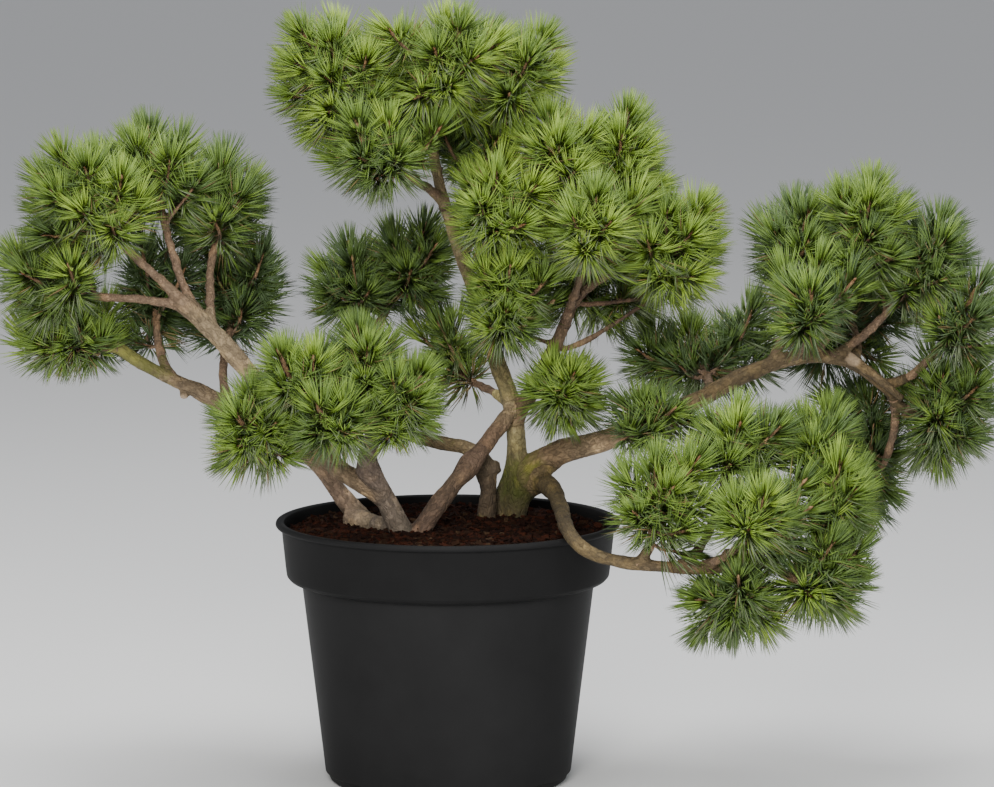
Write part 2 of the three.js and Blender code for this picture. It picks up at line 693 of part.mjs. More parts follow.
const finishes = {
  pot: { color: 0x1b1b1d, roughness: 0.6, metalness: 0 },
  soil: { color: 0x33201a, roughness: 0.95, metalness: 0 },
  bark: { color: 0x7a5f49, roughness: 0.85, metalness: 0 },
  foliage: { color: 0x5f7f3c, roughness: 0.6, metalness: 0 },
};

const plant = new THREE.Group();
plant.add(toMesh('pot', buildPot(), finishes.pot));
plant.add(toMesh('soil', buildSoil(), finishes.soil));
for (const name of Object.keys(limbs)) plant.add(toMesh(name, buildLimb(name), finishes.bark));
for (const name of Object.keys(masses)) {
  plant.add(toMesh('foliage_' + name, buildMass(name), finishes.foliage));
}

export default plant;
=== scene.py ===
import math
import bmesh
import bpy
import numpy as np
from mathutils import Matrix, Vector, kdtree, noise


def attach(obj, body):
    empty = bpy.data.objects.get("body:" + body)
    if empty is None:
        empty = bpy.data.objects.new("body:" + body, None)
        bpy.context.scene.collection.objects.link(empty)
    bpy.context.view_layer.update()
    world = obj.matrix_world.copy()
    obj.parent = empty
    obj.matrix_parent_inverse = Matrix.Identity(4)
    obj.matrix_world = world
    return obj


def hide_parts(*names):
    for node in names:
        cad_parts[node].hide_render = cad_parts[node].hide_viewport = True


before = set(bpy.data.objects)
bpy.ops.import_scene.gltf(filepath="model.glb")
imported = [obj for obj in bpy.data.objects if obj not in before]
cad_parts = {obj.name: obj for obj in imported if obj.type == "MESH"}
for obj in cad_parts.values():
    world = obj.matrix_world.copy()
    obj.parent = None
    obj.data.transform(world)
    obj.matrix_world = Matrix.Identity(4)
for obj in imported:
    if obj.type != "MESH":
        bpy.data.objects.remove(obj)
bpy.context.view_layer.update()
print("frame loaded with", len(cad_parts), "nodes")

# Sizes are in millimetres, as on the drawing, and become metres where a mesh is made.
mm = 0.001
upward = np.array([0.0, 0.0, 1.0])
# a direction that no limb or shoot follows, to find sideways ones from
aslant = [0.31, 0.87, 0.38]
fullTurn = 2 * math.pi
goldenAngle = math.pi * (3 - math.sqrt(5))


# paths

def unit(vectors):
    return vectors / np.linalg.norm(vectors, axis=-1, keepdims=True)


def makePath(points):
    steps = np.linalg.norm(np.diff(points, axis=0), axis=1)
    run = np.concatenate([[0], np.cumsum(steps)])
    return {"points": points, "run": run, "length": run[-1]}


def pointsAt(path, shares):
    along = np.asarray(shares, dtype=float) * path["length"]
    return np.stack([np.interp(along, path["run"], path["points"][:, k]) for k in range(3)], axis=-1)


def directionsAt(path, shares, nearby=0.004):
    ahead, behind = (pointsAt(path, np.clip(np.asarray(shares) + step, 0, 1)) for step in (nearby, -nearby))
    return unit(ahead - behind)


def routePath(stations, steps=40):
    # a smooth curve through the stations, evenly tense whatever their spacing
    points = [np.array(station, dtype=float) for station in stations]
    points = [2 * points[0] - points[1], *points, 2 * points[-1] - points[-2]]
    curve = []
    for i in range(len(stations) - 1):
        a, b, c, d = points[i:i + 4]
        ab, bc, cd = (np.linalg.norm(q - p) ** 0.5 for p, q in ((a, b), (b, c), (c, d)))
        leave = ((b - a) / ab - (c - a) / (ab + bc) + (c - b) / bc) * bc
        arrive = ((c - b) / bc - (d - b) / (bc + cd) + (d - c) / cd) * bc
        for t in np.arange(steps) / steps:
            curve.append(b + t * leave + t * t * (3 * (c - b) - 2 * leave - arrive)
                         + t ** 3 * (2 * (b - c) + leave + arrive))
    curve.append(points[-2])
    return makePath(np.array(curve))


def bendPath(start, leaving, end, arriving, handleShare, steps):
    # a curve between two points and directions, with handles as long as a share of the way
    handle = np.linalg.norm(end - start) * handleShare
    t = np.linspace(0, 1, steps)[:, None]
    return makePath((1 - t) ** 3 * start + 3 * (1 - t) ** 2 * t * (start + leaving * handle)
                    + 3 * (1 - t) * t ** 2 * (end - arriving * handle) + t ** 3 * end)


def sidesAlong(directions):
    # a sideways vector for each ring, carried along the path without twisting
    side = unit(np.cross(directions[0], aslant))
    sides = [side]
    for direction in directions[1:]:
        side = unit(side - direction * np.dot(side, direction))
        sides.append(side)
    return np.array(sides)


# the limbs

# Radii at the root and the tip, and what a flaring foot adds. Along the route, in shares of its length: the
# colour of the bark, with painted shade and painted light laid into some stops, moss as its middle, width and
# force, knots with their size, and worn spots with theirs.
routes = {
    "trunk": {
        "stations": [(73, 72, 286), (80, 71, 366), (74, 74, 429), (59, 68, 475), (43, 60, 528), (-8, 42, 684),
                     (-25, 35, 801)],
        "root": 13, "tip": 4.5, "flare": 6,
        # the dark stops at the foot are partly the mossy bark's colour and partly painted shade, as the foot
        # lies in shade under the crown
        "bark": [(0, (0.058, 0.048, 0.018)), (0.12, (0.080, 0.066, 0.021)), (0.22, (0.325, 0.275, 0.130)),
                 (0.31, (0.235, 0.198, 0.086)), (0.38, (0.195, 0.156, 0.066)), (0.6, (0.205, 0.155, 0.078))],
        "moss": [(0.1, 0.07, 0.8), (0.45, 0.2, 0.35)],
    },
    "diagonal": {
        "stations": [(-42, -58, 286), (-9, -38, 331), (24, 0, 367), (52, 38, 398), (74, 68, 426)],
        "root": 10.5, "tip": 9, "flare": 3, "knots": [(0.56, 4)],
        "bark": [(0, (0.086, 0.050, 0.033)), (0.4, (0.104, 0.066, 0.038)), (0.6, (0.165, 0.102, 0.066)),
                 (0.8, (0.215, 0.135, 0.082)), (1, (0.330, 0.250, 0.140))],
        "pale": [(0.53, 14)],
    },
    "front": {
        "stations": [(-46, -55, 284), (-70, -62, 337), (-92, -70, 379), (-86, -86, 412), (-83, -100, 444)],
        "root": 11.5, "tip": 6.5, "flare": 4, "fullness": 3, "knots": [(0.55, 3)],
        "bark": [(0, (0.122, 0.099, 0.070)), (0.6, (0.175, 0.128, 0.098))], "pale": [(0.6, 12)],
    },
    "left": {
        "stations": [(-76, -64, 346), (-118, -58, 368), (-169, -48, 416), (-269, -30, 527), (-307, -25, 564)],
        "root": 11.5, "tip": 10, "flare": 0, "knots": [(0.97, 2)],
        # the darker stop at 0.93 is painted shadow of the needles above the fork
        "bark": [(0, (0.230, 0.160, 0.093)), (0.68, (0.262, 0.192, 0.112)), (0.84, (0.255, 0.190, 0.110)),
                 (0.93, (0.185, 0.135, 0.078)), (1, (0.190, 0.122, 0.075))],
    },
    "side": {
        "stations": [(-90, 27, 286), (-120, 18, 325), (-153, 10, 371), (-212, 10, 414), (-276, 15, 446),
                     (-350, 8, 484), (-380, 2, 505)],
        "root": 10.5, "tip": 7, "flare": 7, "knots": [(0.7, 2.5)],
        "bark": [(0, (0.130, 0.104, 0.062)), (0.07, (0.190, 0.148, 0.095)), (0.15, (0.440, 0.305, 0.210)),
                 (0.5, (0.165, 0.118, 0.068))],
        "moss": [(0.0, 0.04, 0.7), (0.94, 0.15, 1.0)],
    },
    "rear": {
        "stations": [(43, 48, 286), (46, 52, 340), (34, 64, 372), (-40, 108, 387), (-79, 130, 406),
                     (-101, 148, 455), (-98, 158, 517)],
        "root": 9.8, "tip": 6, "flare": 2, "knots": [(0.2, 3.5)],
        # the first stops are darkened with painted shadow where the diagonal stem shades the foot, and the
        # light stop at 0.34 is painted light laid over shade
        "bark": [(0, (0.066, 0.045, 0.024)), (0.16, (0.076, 0.052, 0.029)), (0.24, (0.230, 0.172, 0.110)),
                 (0.34, (0.390, 0.285, 0.145)), (0.6, (0.280, 0.200, 0.110))],
        "moss": [(0.03, 0.03, 0.7), (0.35, 0.12, 0.4)],
    },
    "right": {
        "stations": [(93, 64, 353), (130, 50, 376), (177, 35, 391), (281, 20, 437), (344, 20, 471),
                     (408, 20, 492), (466, 22, 486), (507, 26, 455), (531, 28, 429)],
        "root": 14, "tip": 6, "flare": 7,
        "bark": [(0, (0.160, 0.112, 0.055)), (0.09, (0.240, 0.158, 0.085)), (0.16, (0.390, 0.285, 0.170)),
                 (0.22, (0.430, 0.300, 0.180)), (0.32, (0.200, 0.134, 0.066)), (0.48, (0.108, 0.076, 0.035)),
                 (0.62, (0.090, 0.063, 0.028)), (0.7, (0.210, 0.150, 0.077)), (0.8, (0.150, 0.105, 0.052)),
                 (0.94, (0.108, 0.074, 0.034)), (1, (0.066, 0.048, 0.018))],
        "moss": [(0.02, 0.07, 0.75), (0.62, 0.06, 0.4)],
    },
    "low": {
        "stations": [(113, 50, 348), (127, -35, 333), (133, -108, 322), (137, -146, 315),
                     (148, -167, 303), (165, -177, 293), (198, -184, 285), (250, -188, 280),
                     (302, -189, 279), (348, -190, 287)],
        "root": 10, "tip": 6, "flare": 3,
        "bark": [(0, (0.125, 0.090, 0.036)), (0.33, (0.086, 0.062, 0.026)), (0.42, (0.060, 0.042, 0.018)),
                 (0.58, (0.108, 0.078, 0.034)), (0.95, (0.135, 0.088, 0.046))],
        "moss": [(0.05, 0.15, 0.45), (0.45, 0.15, 0.35)],
    },
    "upper": {
        "stations": [(77, 72, 411), (101, 62, 454), (125, 48, 503), (144, 38, 551), (162, 30, 602)],
        "root": 9, "tip": 6, "flare": 3,
        "bark": [(0, (0.200, 0.128, 0.072)), (0.57, (0.215, 0.140, 0.082)), (0.68, (0.120, 0.072, 0.046)),
                 (1, (0.078, 0.046, 0.031))],
        "moss": [(0.2, 0.2, 0.3)],
    },
}

# a limb is a stretch of a route
limbs = {
    "trunk": ("trunk", 0, 1), "stem_diagonal": ("diagonal", 0, 1), "stem_front": ("front", 0, 1),
    "bough_left": ("left", 0, 1), "stem_side": ("side", 0, 1), "stem_rear": ("rear", 0, 0.22),
    "bough_back": ("rear", 0.22, 1), "bough_right": ("right", 0, 0.4), "bough_right_end": ("right", 0.4, 1),
    "bough_low": ("low", 0, 0.5), "bough_low_end": ("low", 0.5, 1), "bough_upper": ("upper", 0, 1),
}

paths = {name: routePath(route["stations"]) for name, route in routes.items()}
limbStep, flareLength, knotLength = 7, 30, 16


def sharesAlong(path, start=0):
    return np.linspace(start, 1, int(path["length"] / limbStep))


def routeRadius(name, shares):
    route = routes[name]
    shares = np.asarray(shares, dtype=float)
    length = paths[name]["length"]
    radius = route["tip"] + (route["root"] - route["tip"]) * (1 - shares ** route.get("fullness", 1))
    radius = radius + route["flare"] * np.exp(-shares * length / flareLength)
    for at, size in route.get("knots", []):
        radius = radius + size * np.exp(-((shares - at) * length / knotLength) ** 2)
    return radius


# points down the middle of every limb, to keep twigs and needles off them
limbPoints = np.concatenate([pointsAt(path, sharesAlong(path)) for path in paths.values()])
limbRadii = np.concatenate([routeRadius(name, sharesAlong(path)) for name, path in paths.items()])


def roomToLimbs(points):
    # how far each point is from the nearest bark
    apart = np.linalg.norm(points[:, None] - limbPoints, axis=2)
    return (apart - limbRadii).min(axis=1)


# the masses of foliage

# limb, share along it, middle, reach, and how dark: 0 in the light to 3 behind and below
clouds = {
    "top": {
        "top_left": ("trunk", 0.93, (-134, -20, 818), (78, 85, 96), 0),
        "top_middle": ("trunk", 1, (2, -14, 838), (75, 88, 78), 0),
        "top_right": ("trunk", 0.89, (90, 8, 821), (64, 80, 76), 0),
        "top_front": ("trunk", 0.74, (-83, -62, 738), (77, 74, 70), 1),
        "top_inner": ("trunk", 0.68, (36, 74, 722), (56, 62, 58), 2),
        "top_back": ("trunk", 0.82, (-40, 122, 806), (118, 75, 80), 2),
    },
    "upper": {
        "upper_left": ("trunk", 0.6, (51, -45, 675), (62, 75, 70), 0),
        "upper_low": ("trunk", 0.41, (66, -30, 550), (59, 64, 70), 1),
        "upper_crown": ("bough_upper", 0.9, (120, -20, 738), (69, 80, 68), 0),
        "upper_peak": ("bough_upper", 1, (201, 0, 735), (62, 78, 73), 0),
        "upper_right": ("bough_upper", 0.76, (267, -15, 623), (67, 85, 86), 0),
        "upper_front": ("bough_upper", 0.62, (164, -95, 657), (70, 65, 70), 0),
        "upper_back": ("bough_upper", 0.68, (180, 100, 604), (112, 84, 118), 2),
    },
    "middle": {
        "middle_small": ("bough_upper", 0.2, (132, -25, 457), (66, 64, 65), 0),
        "back_left": ("bough_back", 0.98, (-112, 160, 562), (72, 90, 76), 3),
        "back_middle": ("bough_back", 0.84, (-40, 150, 588), (68, 90, 74), 3),
        "back_low": ("trunk", 0.26, (12, 130, 463), (52, 58, 57), 2),
    },
    "left": {
        "left_crown": ("bough_left", 1, (-411, -50, 684), (91, 85, 84), 0),
        "left_top": ("bough_left", 0.9, (-336, 5, 710), (78, 90, 77), 0),
        "left_shoulder": ("bough_left", 0.82, (-261, 35, 679), (69, 90, 75), 1),
        "left_tip": ("bough_left", 0.94, (-461, -25, 589), (71, 80, 65), 0),
        "left_low": ("stem_side", 1, (-441, 5, 511), (83, 75, 50), 0),
        "left_back": ("stem_side", 0.6, (-244, 110, 557), (69, 80, 81), 3),
        "left_inner": ("stem_side", 0.8, (-345, 95, 546), (62, 66, 84), 3),
    },
    "front": {
        "front_left_tip": ("bough_left", 0.42, (-225, -140, 424), (57, 70, 76), 0),
        "front_left_mid": ("stem_front", 0.93, (-165, -150, 489), (68, 75, 62), 0),
        "front_left_top": ("stem_front", 1, (-96, -110, 509), (61, 75, 60), 0),
        "front_left_low": ("stem_front", 0.84, (-128, -172, 444), (70, 68, 60), 0),
        "front_left_end": ("stem_front", 0.88, (-40, -110, 459), (52, 65, 65), 0),
    },
    "right": {
        "right_shoulder": ("bough_right_end", 0.38, (399, 35, 630), (66, 85, 68), 1),
        "right_top": ("bough_right_end", 0.54, (480, -5, 652), (70, 95, 75), 0),
        "right_crown": ("bough_right_end", 0.62, (550, 10, 607), (70, 88, 78), 0),
        "right_front": ("bough_right_end", 0.46, (410, -85, 557), (57, 60, 61), 0),
        "right_end": ("bough_right_end", 0.86, (596, -20, 540), (59, 80, 77), 0),
        "right_low": ("bough_right_end", 1, (580, 20, 416), (66, 80, 80), 0),
        "right_under": ("bough_right_end", 0.93, (490, 108, 350), (62, 72, 98), 3),
        "right_back": ("bough_right_end", 0.1, (290, 128, 482), (110, 76, 65), 2),
        "right_rear": ("bough_right_end", 0.7, (458, 128, 532), (114, 70, 106), 3),
    },
    "low": {
        "low_near": ("bough_right", 0.72, (224, -62, 438), (56, 56, 49), 0),
        "low_left": ("bough_low_end", 0.38, (232, -190, 362), (70, 66, 70), 0),
        "low_crown": ("bough_low_end", 0.6, (322, -150, 423), (61, 70, 58), 0),
        "low_top": ("bough_low_end", 0.77, (424, -140, 422), (54, 65, 58), 0),
        "low_middle": ("bough_low_end", 0.7, (340, -245, 347), (66, 65, 57), 0),
        "low_right": ("bough_low_end", 0.86, (452, -165, 353), (48, 70, 62), 0),
        "low_end": ("bough_low_end", 1, (424, -190, 258), (69, 70, 60), 0),
        "low_tip": ("bough_low_end", 0.94, (322, -190, 235), (82, 70, 60), 0),
    },
}

growth = {
    # the shoot that a stem leads to, and the others' lean away from the stem's start
    "lowest": -0.85, "poleLift": 0.6, "upTurn": 0.3, "leadDepth": 33, "awayFromStart": 0.9, "outerTurn": 0.45,
    "coreLength": 21, "needleReach": 41, "wallRoom": 4, "limbRoom": 8, "neighbourRange": 260,
    # how many shoots there are and how close they stand
    "candidates": 90, "mostShoots": 15, "usualReach": 72, "shootDepth": 30, "spacing": 39, "smallReach": 22,
    "closest": 0.72, "denser": {"upper_low": 0.82, "middle_small": 0.85, "right_under": 0.85},
    "outerShares": (0.95, 0.3, -0.05), "innerDepth": 0.35, "innerSpacing": 30, "mostInner": 6,
    # curves as their handles and steps, and where along a stem or a twig others may branch off
    "stemBend": (0.3, 40), "twigBend": (0.35, 9), "twigLeave": 0.6, "turnCost": 14,
    "stemRoots": (0.3, 0.82, 14), "twigRoots": (0.25, 0.6, 3),
    "squareness": 4, "crownSquareness": 2.5, "crownGrowth": 1.03,
}


def makeRandom(seed):
    state = seed * 7919 + 17
    while True:
        state = (state * 1664525 + 1013904223) % 4294967296
        yield state / 4294967296


def reachShare(offsets, reach, power=growth["squareness"]):
    return (np.abs(offsets / reach) ** power).sum(axis=-1) ** (1 / power)


cells = {}
for cloud, masses in clouds.items():
    for name, (limb, at, middle, reach, dark) in masses.items():
        route, start, end = limbs[limb]
        share = start + (end - start) * at
        cells[name] = {
            "cloud": cloud, "dark": dark, "seed": len(cells) + 1,
            "middle": np.array(middle, dtype=float), "reach": np.array(reach, dtype=float),
            "start": pointsAt(paths[route], share), "along": directionsAt(paths[route], share),
        }

# each mass keeps to its own side of a plane towards each neighbour; its needles may reach into the other
# masses of its cloud, but the sky stays open between clouds
for cell in cells.values():
    near = [other for other in cells.values()
            if np.linalg.norm(other["middle"] - cell["middle"]) < growth["neighbourRange"]]
    ownCloud = [other for other in near if other["cloud"] == cell["cloud"]]
    cell["nearMiddles"] = np.array([other["middle"] for other in ownCloud])
    cell["nearReaches"] = np.array([other["reach"] for other in ownCloud])
    cell["walls"] = []
    for other in near:
        if other is not cell:
            between = other["middle"] - cell["middle"]
            distance = np.linalg.norm(between)
            between = between / distance
            own, theirs = (1 / np.linalg.norm(between / one["reach"]) for one in (cell, other))
            point = cell["middle"] + between * distance * own / (own + theirs)
            cell["walls"].append((between, point))


def depthInside(cell, point):
    return min(np.dot(normal, place - point) for normal, place in cell["walls"])


def insideCrown(cell, points):
    # within the rounded reach of this mass or of another of its cloud
    offsets = points[:, None] - cell["nearMiddles"]
    shares = reachShare(offsets, cell["nearReaches"], growth["crownSquareness"])
    return (shares <= growth["crownGrowth"]).any(axis=1)


def outwardSpiral(cell, firstAngle):
    # golden-angle directions over the mass, from its outer pole inwards
    pole = unit(unit(cell["middle"] - cell["start"]) + growth["poleLift"] * upward)
    turn = Vector(upward).rotation_difference(Vector(pole)).to_matrix()
    for i in range(growth["candidates"]):
        height = 1 - (1 - growth["lowest"]) * i / growth["candidates"]
        around = firstAngle + i * goldenAngle
        flat = math.sqrt(max(0, 1 - height * height))
        yield np.array(turn @ Vector((math.cos(around) * flat, math.sin(around) * flat, height)))


def makePlace(cell, outward, tip, follow, upTurn=growth["upTurn"]):
    axis = unit(outward / cell["reach"]) + upTurn * upward
    axis = unit(axis + follow * unit(tip - cell["start"]))
    return {"tip": tip, "axis": axis, "base": tip - axis * growth["coreLength"]}


def leadPlace(cell, outward):
    inner = cell["reach"] - growth["leadDepth"]
    offset = outward * inner
    return makePlace(cell, outward, cell["middle"] + offset / reachShare(offset, inner), 0)


def outerPlace(cell, outward):
    # as far out as its needles stay in the crown
    surface = outward * cell["reach"] / reachShare(outward * cell["reach"], cell["reach"])
    for share in np.arange(*growth["outerShares"]):
        tip = cell["middle"] + surface * share
        place = makePlace(cell, outward, tip, growth["awayFromStart"], growth["outerTurn"])
        ways = np.array([place["axis"], unit(outward + place["axis"]), outward])
        inside = insideCrown(cell, tip + ways * growth["needleReach"]).all()
        if inside and depthInside(cell, tip) > growth["wallRoom"]:
            return place
    return None


def meanReach(cell):
    return np.prod(cell["reach"]) ** (1 / 3)


def mostOuter(cell):
    # a larger mass has room for more shoots
    reach = meanReach(cell)
    share = (reach - growth["shootDepth"]) / (growth["usualReach"] - growth["shootDepth"])
    return max(growth["mostShoots"], round(growth["mostShoots"] * share ** 2))


def innerPlace(cell, outward):
    tip = cell["middle"] + outward * cell["reach"] * growth["innerDepth"]
    return makePlace(cell, outward, tip, growth["awayFromStart"])


def clearOfLimbs(place):
    return roomToLimbs(np.array([place["tip"], place["base"]])).min() > growth["limbRoom"]


def shootFits(cell, place):
    inside = min(depthInside(cell, place[end]) for end in ("tip", "base")) >= growth["wallRoom"]
    return inside and clearOfLimbs(place)


def growStem(cell, lead):
    away = unit(unit(lead["base"] - cell["start"]) + cell["along"])
    curve = bendPath(cell["start"], away, lead["base"], lead["axis"], *growth["stemBend"])
    return makePath(np.vstack([curve["points"], lead["tip"]]))


def growTwig(cell, place):
    # from the nearest point of the stem or of an older twig, behind the shoot
    back = place["base"] - place["axis"] * growth["coreLength"]
    roots, headings = [], []
    for shoot in cell["shoots"]:
        shares = np.linspace(*growth["stemRoots" if shoot["kind"] == "stem" else "twigRoots"])
        roots.append(pointsAt(shoot["path"], shares))
        headings.append(directionsAt(shoot["path"], shares))
    roots, headings = np.concatenate(roots), np.concatenate(headings)
    ways = back - roots
    turning = 1 - (unit(ways) * headings).sum(axis=1)
    best = np.argmin(np.linalg.norm(ways, axis=1) + growth["turnCost"] * turning)
    leaving = unit(unit(ways[best]) + growth["twigLeave"] * headings[best])
    curve = bendPath(roots[best], leaving, place["base"], place["axis"], *growth["twigBend"])
    return makePath(np.vstack([curve["points"], place["tip"]]))


# every stem with its leading shoot first, as in the solids, then the finer shoots
for cell in cells.values():
    random = makeRandom(cell["seed"])
    cell["outer"], cell["inner"] = (list(outwardSpiral(cell, next(random) * fullTurn)) for _ in range(2))
    leads = (leadPlace(cell, outward) for outward in cell["outer"])
    stem = growStem(cell, next(lead for lead in leads if shootFits(cell, lead)))
    cell["shoots"] = [{"path": stem, "kind": "stem"}]

allTips = [cell["shoots"][0]["path"]["points"][-1] for cell in cells.values()]
for name, cell in cells.items():
    # smaller masses hold their shoots closer together
    closer = (meanReach(cell) - growth["smallReach"]) / (growth["usualReach"] - growth["smallReach"])
    closer = min(1, max(growth["closest"], closer)) * growth["denser"].get(name, 1)
    passes = [("outer", outerPlace, mostOuter(cell), growth["spacing"] * closer),
              ("inner", innerPlace, growth["mostInner"], growth["innerSpacing"])]
    for kind, findPlace, most, spacing in passes:
        most += len(cell["shoots"])
        for outward in cell[kind]:
            place = findPlace(cell, outward)
            if place is None or len(cell["shoots"]) >= most:
                continue
            gap = np.linalg.norm(np.array(allTips) - place["tip"], axis=1).min()
            if gap >= spacing and clearOfLimbs(place):
                cell["shoots"].append({"path": growTwig(cell, place), "kind": kind})
                allTips.append(place["tip"])
print("shoots grown:", sum(len(cell["shoots"]) for cell in cells.values()))


# meshes from arrays

def tubeArrays(points, radii, sides):
    # rings round a path, closed at both ends
    directions = unit(np.gradient(points, axis=0))
    across = sidesAlong(directions)
    around = (np.arange(sides) * fullTurn / sides)[:, None]
    ring = across[:, None] * np.cos(around) + np.cross(directions, across)[:, None] * np.sin(around)
    verts = (points[:, None] + ring * radii[:, None, None]).reshape(-1, 3)
    here = np.arange(sides)
    after = (here + 1) % sides
    last, foot = len(verts) - sides, np.full(sides, len(verts))
    starts = np.arange(0, last, sides)[:, None]
    a, b = starts + here, starts + after
    corners = [(a, b, b + sides), (a, b + sides, a + sides), (foot, after, here),
               (foot + 1, last + here, last + after)]
    tris = np.concatenate([np.stack(three, axis=-1).reshape(-1, 3) for three in corners])
    return np.vstack([verts, points[0], points[-1]]), tris


def joinArrays(parts):
    verts, tris, slots = zip(*parts)
    starts = np.cumsum([0, *(len(some) for some in verts[:-1])])
    slots = [np.broadcast_to(slot, len(some)) for slot, some in zip(slots, tris)]
    tris = [some + start for some, start in zip(tris, starts)]
    return np.concatenate(verts), np.concatenate(tris), np.concatenate(slots)


def addPiece(name, data):
    piece = bpy.data.objects.new(name, data)
    bpy.context.scene.collection.objects.link(piece)
    return piece


def meshFromArrays(name, verts, tris, slots, materials, smooth=True):
    mesh = bpy.data.meshes.new(name)
    mesh.vertices.add(len(verts))
    mesh.vertices.foreach_set("co", (verts * mm).ravel())
    mesh.loops.add(tris.size)
    mesh.loops.foreach_set("vertex_index", tris.ravel())
    mesh.polygons.add(len(tris))
    mesh.polygons.foreach_set("loop_start", np.arange(len(tris)) * 3)
    mesh.update(calc_edges=True)
    for material in materials:
        mesh.materials.append(material)
    mesh.polygons.foreach_set("material_index", slots.astype(np.int32))
    mesh.polygons.foreach_set("use_smooth", np.full(len(tris), smooth))
    print(name, len(tris), "triangles")
    return addPiece(name, mesh)


def meshFromForm(name, bm, smooth=False):
    mesh = bpy.data.meshes.new(name)
    bm.to_mesh(mesh)
    bm.free()
    mesh.polygons.foreach_set("use_smooth", np.full(len(mesh.polygons), smooth))
    return mesh


def modifiedMesh(shape, material):
    # the shape as its modifiers leave it, smooth and in one material
    mesh = bpy.data.meshes.new_from_object(shape.evaluated_get(bpy.context.evaluated_depsgraph_get()))
    bpy.data.objects.remove(shape)
    mesh.polygons.foreach_set("use_smooth", np.full(len(mesh.polygons), True))
    mesh.materials.clear()
    mesh.materials.append(material)
    return mesh


def setPoints(mesh, name, kind, field, values):
    mesh.attributes.new(name, kind, "POINT").data.foreach_set(field, values.ravel())


def dressPoints(mesh, places, tints, masks):
    # what the bark materials read: a place along the limb, a colour, and masks for clefts, moss and bare wood
    opaque = np.ones(len(places))
    setPoints(mesh, "barkPlace", "FLOAT_VECTOR", "vector", places * mm)
    setPoints(mesh, "barkTint", "FLOAT_COLOR", "color", np.column_stack([tints, opaque]))
    setPoints(mesh, "barkMask", "FLOAT_COLOR", "color", np.column_stack([masks, opaque]))


def finishPiece(piece, nodes=()):
    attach(piece, "root")
    if nodes:
        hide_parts(*nodes)


# materials

def newMaterial(name, roughness, **values):
    material = bpy.data.materials.new(name)
    material.use_nodes = True
    shader = material.node_tree.nodes["Principled BSDF"]
    shader.inputs["Roughness"].default_value = roughness
    for socket, value in values.items():
        shader.inputs[socket.replace("_", " ")].default_value = value
    return material, material.node_tree, shader


def addNode(tree, kind, inputs=None, **settings):
    node = tree.nodes.new(kind)
    for setting, value in settings.items():
        setattr(node, setting, value)
    for socket, value in (inputs or {}).items():
        if isinstance(value, bpy.types.NodeSocket):
            tree.links.new(value, node.inputs[socket])
        else:
            node.inputs[socket].default_value = value
    return node


def rampNode(tree, factor, stops):
    node = tree.nodes.new("ShaderNodeValToRGB")
    tree.links.new(factor, node.inputs["Fac"])
    ramp = node.color_ramp
    while len(ramp.elements) < len(stops):
        ramp.elements.new(0.5)
    for element, (position, value) in zip(ramp.elements, stops):
        element.position = position
        element.color = (value, value, value, 1) if isinstance(value, (int, float)) else (*value, 1)
    return node.outputs["Color"]


def mixColour(tree, factor, first, second, blend="MIX"):
    first, second = ((*side, 1) if isinstance(side, tuple) else side for side in (first, second))
    mix = addNode(tree, "ShaderNodeMix", {0: factor, 6: first, 7: second}, data_type="RGBA", blend_type=blend)
    return mix.outputs[2]


def layOver(tree, mask, stops, colour, over):
    # one colour laid over another as far as the mask's ramp says
    return mixColour(tree, rampNode(tree, mask, stops), colour, over)


def noiseAt(tree, place, scale, detail, roughness=0.5):
    inputs = {"Vector": place, "Scale": scale, "Detail": detail, "Roughness": roughness}
    return addNode(tree, "ShaderNodeTexNoise", inputs).outputs


def combine(tree, operation, first, second):
    return addNode(tree, "ShaderNodeMath", {0: first, 1: second}, operation=operation).outputs["Value"]


def readPoints(tree, name, output):
    return addNode(tree, "ShaderNodeAttribute", attribute_name=name).outputs[output]


def objectPlace(tree):
    return addNode(tree, "ShaderNodeTexCoord").outputs["Object"]


def bumpInto(tree, shader, height, strength, distance):
    bump = addNode(tree, "ShaderNodeBump", {"Height": height, "Strength": strength, "Distance": distance})
    tree.links.new(bump.outputs["Normal"], shader.inputs["Normal"])


def newGroup(name, inputs, outputs):
    group = bpy.data.node_groups.new(name, "ShaderNodeTree")
    for side, sockets in (("INPUT", inputs), ("OUTPUT", outputs)):
        for socket, kind in sockets.items():
            group.interface.new_socket(socket, in_out=side, socket_type="NodeSocket" + kind)
    given = group.nodes.new("NodeGroupInput").outputs
    made = group.nodes.new("NodeGroupOutput").inputs
    return group, given, made


def useGroup(tree, group, **inputs):
    return addNode(tree, "ShaderNodeGroup", inputs, node_tree=group).outputs


def buildBarkFlakes():
    # small plates of bark: how light each is, the cracks between them, and their height
    group, given, made = newGroup("barkFlakes", {"Vector": "Vector", "Scale": "Float"},
                                  {"Tone": "Float", "Crack": "Float", "Height": "Float"})
    place = given["Vector"]
    warp = noiseAt(group, place, 160.0, 4.0)["Color"]
    shifted = addNode(group, "ShaderNodeMix", {0: 0.009, 4: place, 5: warp}, data_type="VECTOR").outputs[1]
    spread = {"Vector": shifted, "Scale": given["Scale"]}
    plates = addNode(group, "ShaderNodeTexVoronoi", spread).outputs["Color"]
    edges = addNode(group, "ShaderNodeTexVoronoi", spread, feature="DISTANCE_TO_EDGE").outputs["Distance"]
    crack = rampNode(group, edges, [(0.0, 1.0), (0.22, 0.0)])
    fine = noiseAt(group, place, 420.0, 7.0, 0.72)["Color"]
    grey = addNode(group, "ShaderNodeRGBToBW", {"Color": mixColour(group, 0.72, plates, fine)}).outputs["Val"]
    group.links.new(grey, made["Tone"])
    group.links.new(crack, made["Crack"])
    group.links.new(combine(group, "SUBTRACT", grey, crack), made["Height"])
    return group


